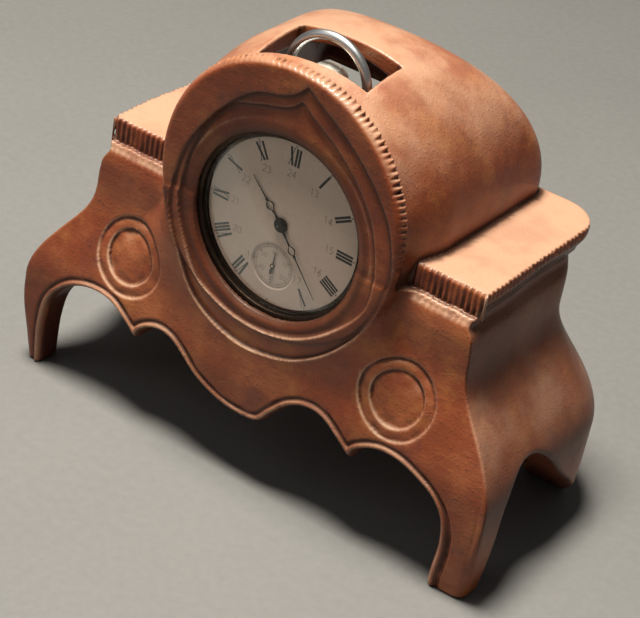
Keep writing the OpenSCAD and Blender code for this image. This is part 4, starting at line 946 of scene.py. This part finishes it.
class PrintDial(bpy.types.Operator):
    """Paints the hour numerals, the inner numbers and the tracks on the dial"""

    bl_idname = "watchbox.print_dial"
    bl_label = "Paint the dial"

    def execute(self, context):
        look = context.scene.watch_look
        dress(enamel(look), "dial", "seconds_dial")
        lift = 0.012
        hours = Plate()
        for n, text in enumerate(NUMERALS):
            squeeze = 0.90 if len(text) > 3 else 1
            for stroke in roman(text, 4.3):
                placed = [(px * squeeze, py + 15.1) for px, py in stroke]
                hours.outline(turned(placed, 30 * n), lift)
        for n in range(12):
            hours.ring(*turned([(0, TRACK_R)], 30 * n)[0], 0, 0.2, lift, n=10)
        small = Plate()
        for n in range(60):
            if n % 5:
                small.ring(*turned([(0, TRACK_R)], 6 * n)[0], 0, 0.10, lift, n=6)
        for n in range(12):
            if n == 6:
                continue
            cx, cy = turned([(0, 13.1)], 30 * n)[0]
            for stroke in small_number(str(12 + n) if n else "24", 1.7, 0.17):
                small.outline([(cx + px, cy + py) for px, py in stroke], lift)
        sunk = -0.25 + lift
        small.ring(SUB_X, SUB_Y, 5.22, 5.34, sunk, n=72)
        small.ring(SUB_X, SUB_Y, 4.50, 4.58, sunk, n=72)
        for n in range(60):
            inner, outer = (4.55, 5.25) if n % 5 else (4.35, 5.4)
            small.outline(turned(bar(0, inner, 0, outer, 0.10 if n % 5 else 0.2), 6 * n, SUB_X, SUB_Y), sunk)
        for n, text in enumerate(("60", "10", "20", "30", "40", "50")):
            cx, cy = turned([(0, 3.4)], 60 * n, SUB_X, SUB_Y)[0]
            for stroke in small_number(text, 1.15, 0.13):
                small.outline([(cx + px, cy + py) for px, py in stroke], sunk)
        black, faded = ink("black numerals", look.ink, 0.08), ink("faded numbers", look.faded, 0.55)
        new_object("dial_numerals", hours.mesh("dial_numerals"), black, "watch", ())
        new_object("dial_small_numbers", small.mesh("dial_small_numbers"), faded, "watch", ())
        edge = Plate()
        profile = ((5.95, 0.008), (5.78, -0.02), (5.62, -0.2), (5.5, -0.235))
        n = 96
        for i in range(n):
            a, b = 2 * math.pi * i / n, 2 * math.pi * (i + 1) / n
            start = len(edge.points)
            for t in (a, b):
                for r, z in profile:
                    edge.points.append(on_dial(SUB_X + r * math.cos(t), SUB_Y + r * math.sin(t), z))
            edge.faces += [(start + k, start + k + 1, start + 5 + k, start + 4 + k) for k in range(3)]
        new_object("seconds_dial_edge", edge.mesh("seconds_dial_edge"), enamel(look), "watch", ())
        return {"FINISHED"}


HAND_THICK = 0.14
HOUR_TURN, MINUTE_TURN, SECONDS_TURN = 312, 138, 4  # degrees clockwise from the top, as in the solids


def needle(plate, angle, z, length, boss, bore, bulb_at, bulb):
    """Hand with a pierced bulb: boss, waisted neck, two scrolls, long thin point."""
    def put(points):
        plate.outline(turned(points, angle), z, HAND_THICK)

    plate.ring(0, 0, bore, boss, z, HAND_THICK)
    neck0, neck1 = boss - 0.06, bulb_at - 1.25 * bulb
    waist = 0.5 * (neck0 + neck1)
    put([(-0.42, neck0), (0.42, neck0), (0.17, waist), (0.30, neck1), (-0.30, neck1), (-0.17, waist)])
    for side in (-1, 1):
        arc = []
        for i in range(15):
            t = i / 14
            spread = math.sin(math.pi * t) ** 0.8 * bulb
            arc.append((side * (0.16 + spread), bulb_at + (t - 0.5) * 2.5 * bulb))
        inner = [(px - side * (0.30 if 1 < i < 13 else 0.14), py) for i, (px, py) in enumerate(arc)]
        for i in range(14):
            put([arc[i], arc[i + 1], inner[i + 1], inner[i]][::side])
    tip0 = bulb_at + 1.2 * bulb
    put([(-0.30, tip0 - 0.15), (0.30, tip0 - 0.15), (0.36, tip0 + 0.35), (0.14, tip0 + 1.0),
         (0.045, length), (-0.045, length), (-0.14, tip0 + 1.0), (-0.36, tip0 + 0.35)])


class CutHands(bpy.types.Operator):
    """Cuts the pierced hour and minute hands and the seconds hand"""

    bl_idname = "watchbox.cut_hands"
    bl_label = "Cut the hands"

    def execute(self, context):
        blued = metal("blued steel", context.scene.watch_look.hands, 0.34, 0.2)
        hour, minute, second = Plate(), Plate(), Plate()
        needle(hour, HOUR_TURN, 0.25, length=12.8, boss=1.75, bore=1.17, bulb_at=5.0, bulb=1.0)
        needle(minute, MINUTE_TURN, 0.55, length=18.3, boss=1.7, bore=0.02, bulb_at=6.2, bulb=0.90)
        minute.ring(0, 0, 0.02, 1.25, 0.66, 0.3)
        second.ring(SUB_X, SUB_Y, 0.29, 0.62, 0.0, HAND_THICK, 32)
        point = [(-0.16, 0.5), (0.16, 0.5), (0.06, 3.9), (-0.06, 3.9)]
        tail = [(0.14, -0.5), (-0.14, -0.5), (-0.42, -1.35), (-0.30, -2.0), (0, -2.35), (0.30, -2.0),
                (0.42, -1.35)]
        for points in (point, tail):
            second.outline(turned(points, SECONDS_TURN, SUB_X, SUB_Y), 0.0, HAND_THICK)
        hands = (
            (hour, "hour", "hour_hand"), (minute, "minute", "minute_hand"), (second, "fourth", "seconds_hand")
        )
        for plate, body, node in hands:
            new_object(node + "_cut", plate.mesh(node + "_cut"), blued, body, (node,))
        dress(blued, "hairspring")
        return {"FINISHED"}


class PolishCase(bpy.types.Operator):
    """Polishes the silver case, its bow and covers, the crown and the glass"""

    bl_idname = "watchbox.polish_case"
    bl_label = "Polish the case"

    def execute(self, context):
        look = context.scene.watch_look
        silver = metal("worn silver", look.silver, 0.24, 0.22, 1.0)
        dress(silver, "case_middle", "pendant", "bow", "cuvette", "case_back")
        # Painted shade: the bezel is made dark as if in the window's shadow.
        dress(metal("dulled bezel", look.bezel_in_shade, 0.38, 0.5, 1.0), "bezel")
        dress(metal("worn crown plate", look.crown, 0.40, 0.25, 1.0), "crown")
        dress(clear_glass(), "crystal")
        return {"FINISHED"}


class FinishMovement(bpy.types.Operator):
    """Gilds the plates and wheels, polishes the steel and sets the jewels"""

    bl_idname = "watchbox.finish_movement"
    bl_label = "Finish the movement"

    def execute(self, context):
        look = context.scene.watch_look
        by_slot = {}
        for part in frame["record"]["subparts"]:
            by_slot.setdefault(part["material_slot"], []).append(part["node"])
        dress(metal("frosted gilt", look.gilt, 0.30, 0.12), *by_slot["gilt_brass"])
        dress(metal("polished steel", look.steel, 0.22, 0.15), *by_slot["steel"])
        dress(jewel(look), *by_slot["jewel"])
        return {"FINISHED"}


# ------------------------------------------------------------------ stage


AIM = (0, 0, 0.055)  # what the lamps point at
VIEW_AZIMUTH, VIEW_HEIGHT, VIEW_TURN = 29.888, 31.147, 10.465  # the camera's direction and roll, in degrees
VIEW_TARGET, VIEW_DISTANCE = (0.00147, -0.008, 0.03637), 0.4725
FLOOR_HALF = 4


def lamp(name, place, side, watts, shade):
    """Round soft lamp that points at the watch box."""
    data = bpy.data.lights.new(name, "AREA")
    data.shape = "DISK"
    data.size = side
    data.energy = watts
    data.color = shade
    made = bpy.data.objects.new(name, data)
    bpy.context.scene.collection.objects.link(made)
    made.location = place
    made.rotation_euler = (Vector(AIM) - Vector(place)).to_track_quat("-Z", "Y").to_euler()


class SetStage(bpy.types.Operator):
    """Sets the table, the soft lamps and the camera"""

    bl_idname = "watchbox.set_stage"
    bl_label = "Set the stage"

    def execute(self, context):
        scene, look = context.scene, context.scene.stage_look
        f = Finish("table")
        grain = f.noise(420, 4, 0.6)
        cloud = f.noise(9, 3)
        shade = (0.55 * grain + 0.45 * cloud).ramp(0.3, 0.7).blend(
            darker(look.floor, 0.93), tuple(min(1.05 * c, 1) for c in look.floor)
        )
        cloth = f.surface(base_color=shade, roughness=0.62 + 0.1 * grain, normal=f.bump(grain, 0.0002, 0.4))
        mesh = bpy.data.meshes.new("table")
        h = FLOOR_HALF
        mesh.from_pydata([(-h, -h, 0), (h, -h, 0), (h, h, 0), (-h, h, 0)], [], [(0, 1, 2, 3)])
        mesh.materials.append(cloth)
        floor = bpy.data.objects.new("table", mesh)
        scene.collection.objects.link(floor)
        lamp("key", (-0.11, -0.10, 0.85), 0.28, look.key, (1.0, 0.96, 0.90))
        lamp("fill", (-0.55, -0.75, 0.62), 0.8, look.fill, (0.97, 0.98, 1.0))
        world = bpy.data.worlds.new("soft room")
        world.use_nodes = True
        back = world.node_tree.nodes["Background"]
        back.inputs["Color"].default_value = (0.93, 0.95, 1.0, 1)
        back.inputs["Strength"].default_value = look.sky
        scene.world = world
        scene.view_settings.view_transform = "Standard"
        camera = bpy.data.objects.new("camera", bpy.data.cameras.new("camera"))
        scene.collection.objects.link(camera)
        camera.data.lens = look.lens
        camera.data.sensor_width = 36
        camera.data.clip_start = 0.01
        az, el, roll = (math.radians(a) for a in (VIEW_AZIMUTH, VIEW_HEIGHT, VIEW_TURN))
        out = Vector((math.sin(az) * math.cos(el), -math.cos(az) * math.cos(el), math.sin(el)))
        flat = Vector((math.cos(az), math.sin(az), 0))
        up = out.cross(flat)
        right = math.cos(roll) * flat + math.sin(roll) * up
        up = math.cos(roll) * up - math.sin(roll) * flat
        place = Matrix((right, up, out)).transposed().to_4x4()
        place.translation = Vector(VIEW_TARGET) + VIEW_DISTANCE * out
        camera.matrix_world = place
        scene.camera = camera
        return {"FINISHED"}


class WatchBoxPanel(bpy.types.Panel):
    """Lists the steps that make the watch box."""

    bl_idname = "VIEW3D_PT_watchbox"
    bl_label = "Watch box"
    bl_space_type = "VIEW_3D"
    bl_region_type = "UI"
    bl_category = "Watch box"

    def draw(self, context):
        for step in STEPS:
            self.layout.operator(step.bl_idname)
        for group in GROUPS:
            owner = getattr(context.scene, group)
            for name in owner.__annotations__:
                self.layout.prop(owner, name)


STEPS = (SetStage, CarveStand, PrintDial, CutHands, PolishCase, FinishMovement)
GROUPS = {"stand_sizes": StandSizes, "wood_look": WoodLook, "watch_look": WatchLook, "stage_look": StageLook}


def register():
    for made in (*GROUPS.values(), *STEPS, WatchBoxPanel):
        bpy.utils.register_class(made)
    for name, group in GROUPS.items():
        setattr(bpy.types.Scene, name, PointerProperty(type=group))


def unregister():
    for name in GROUPS:
        delattr(bpy.types.Scene, name)
    for made in (WatchBoxPanel, *STEPS[::-1], *list(GROUPS.values())[::-1]):
        bpy.utils.unregister_class(made)


def main():
    register()
    for step in STEPS:
        group, name = step.bl_idname.split(".")
        getattr(getattr(bpy.ops, group), name)()


if __name__ == "__main__":
    main()
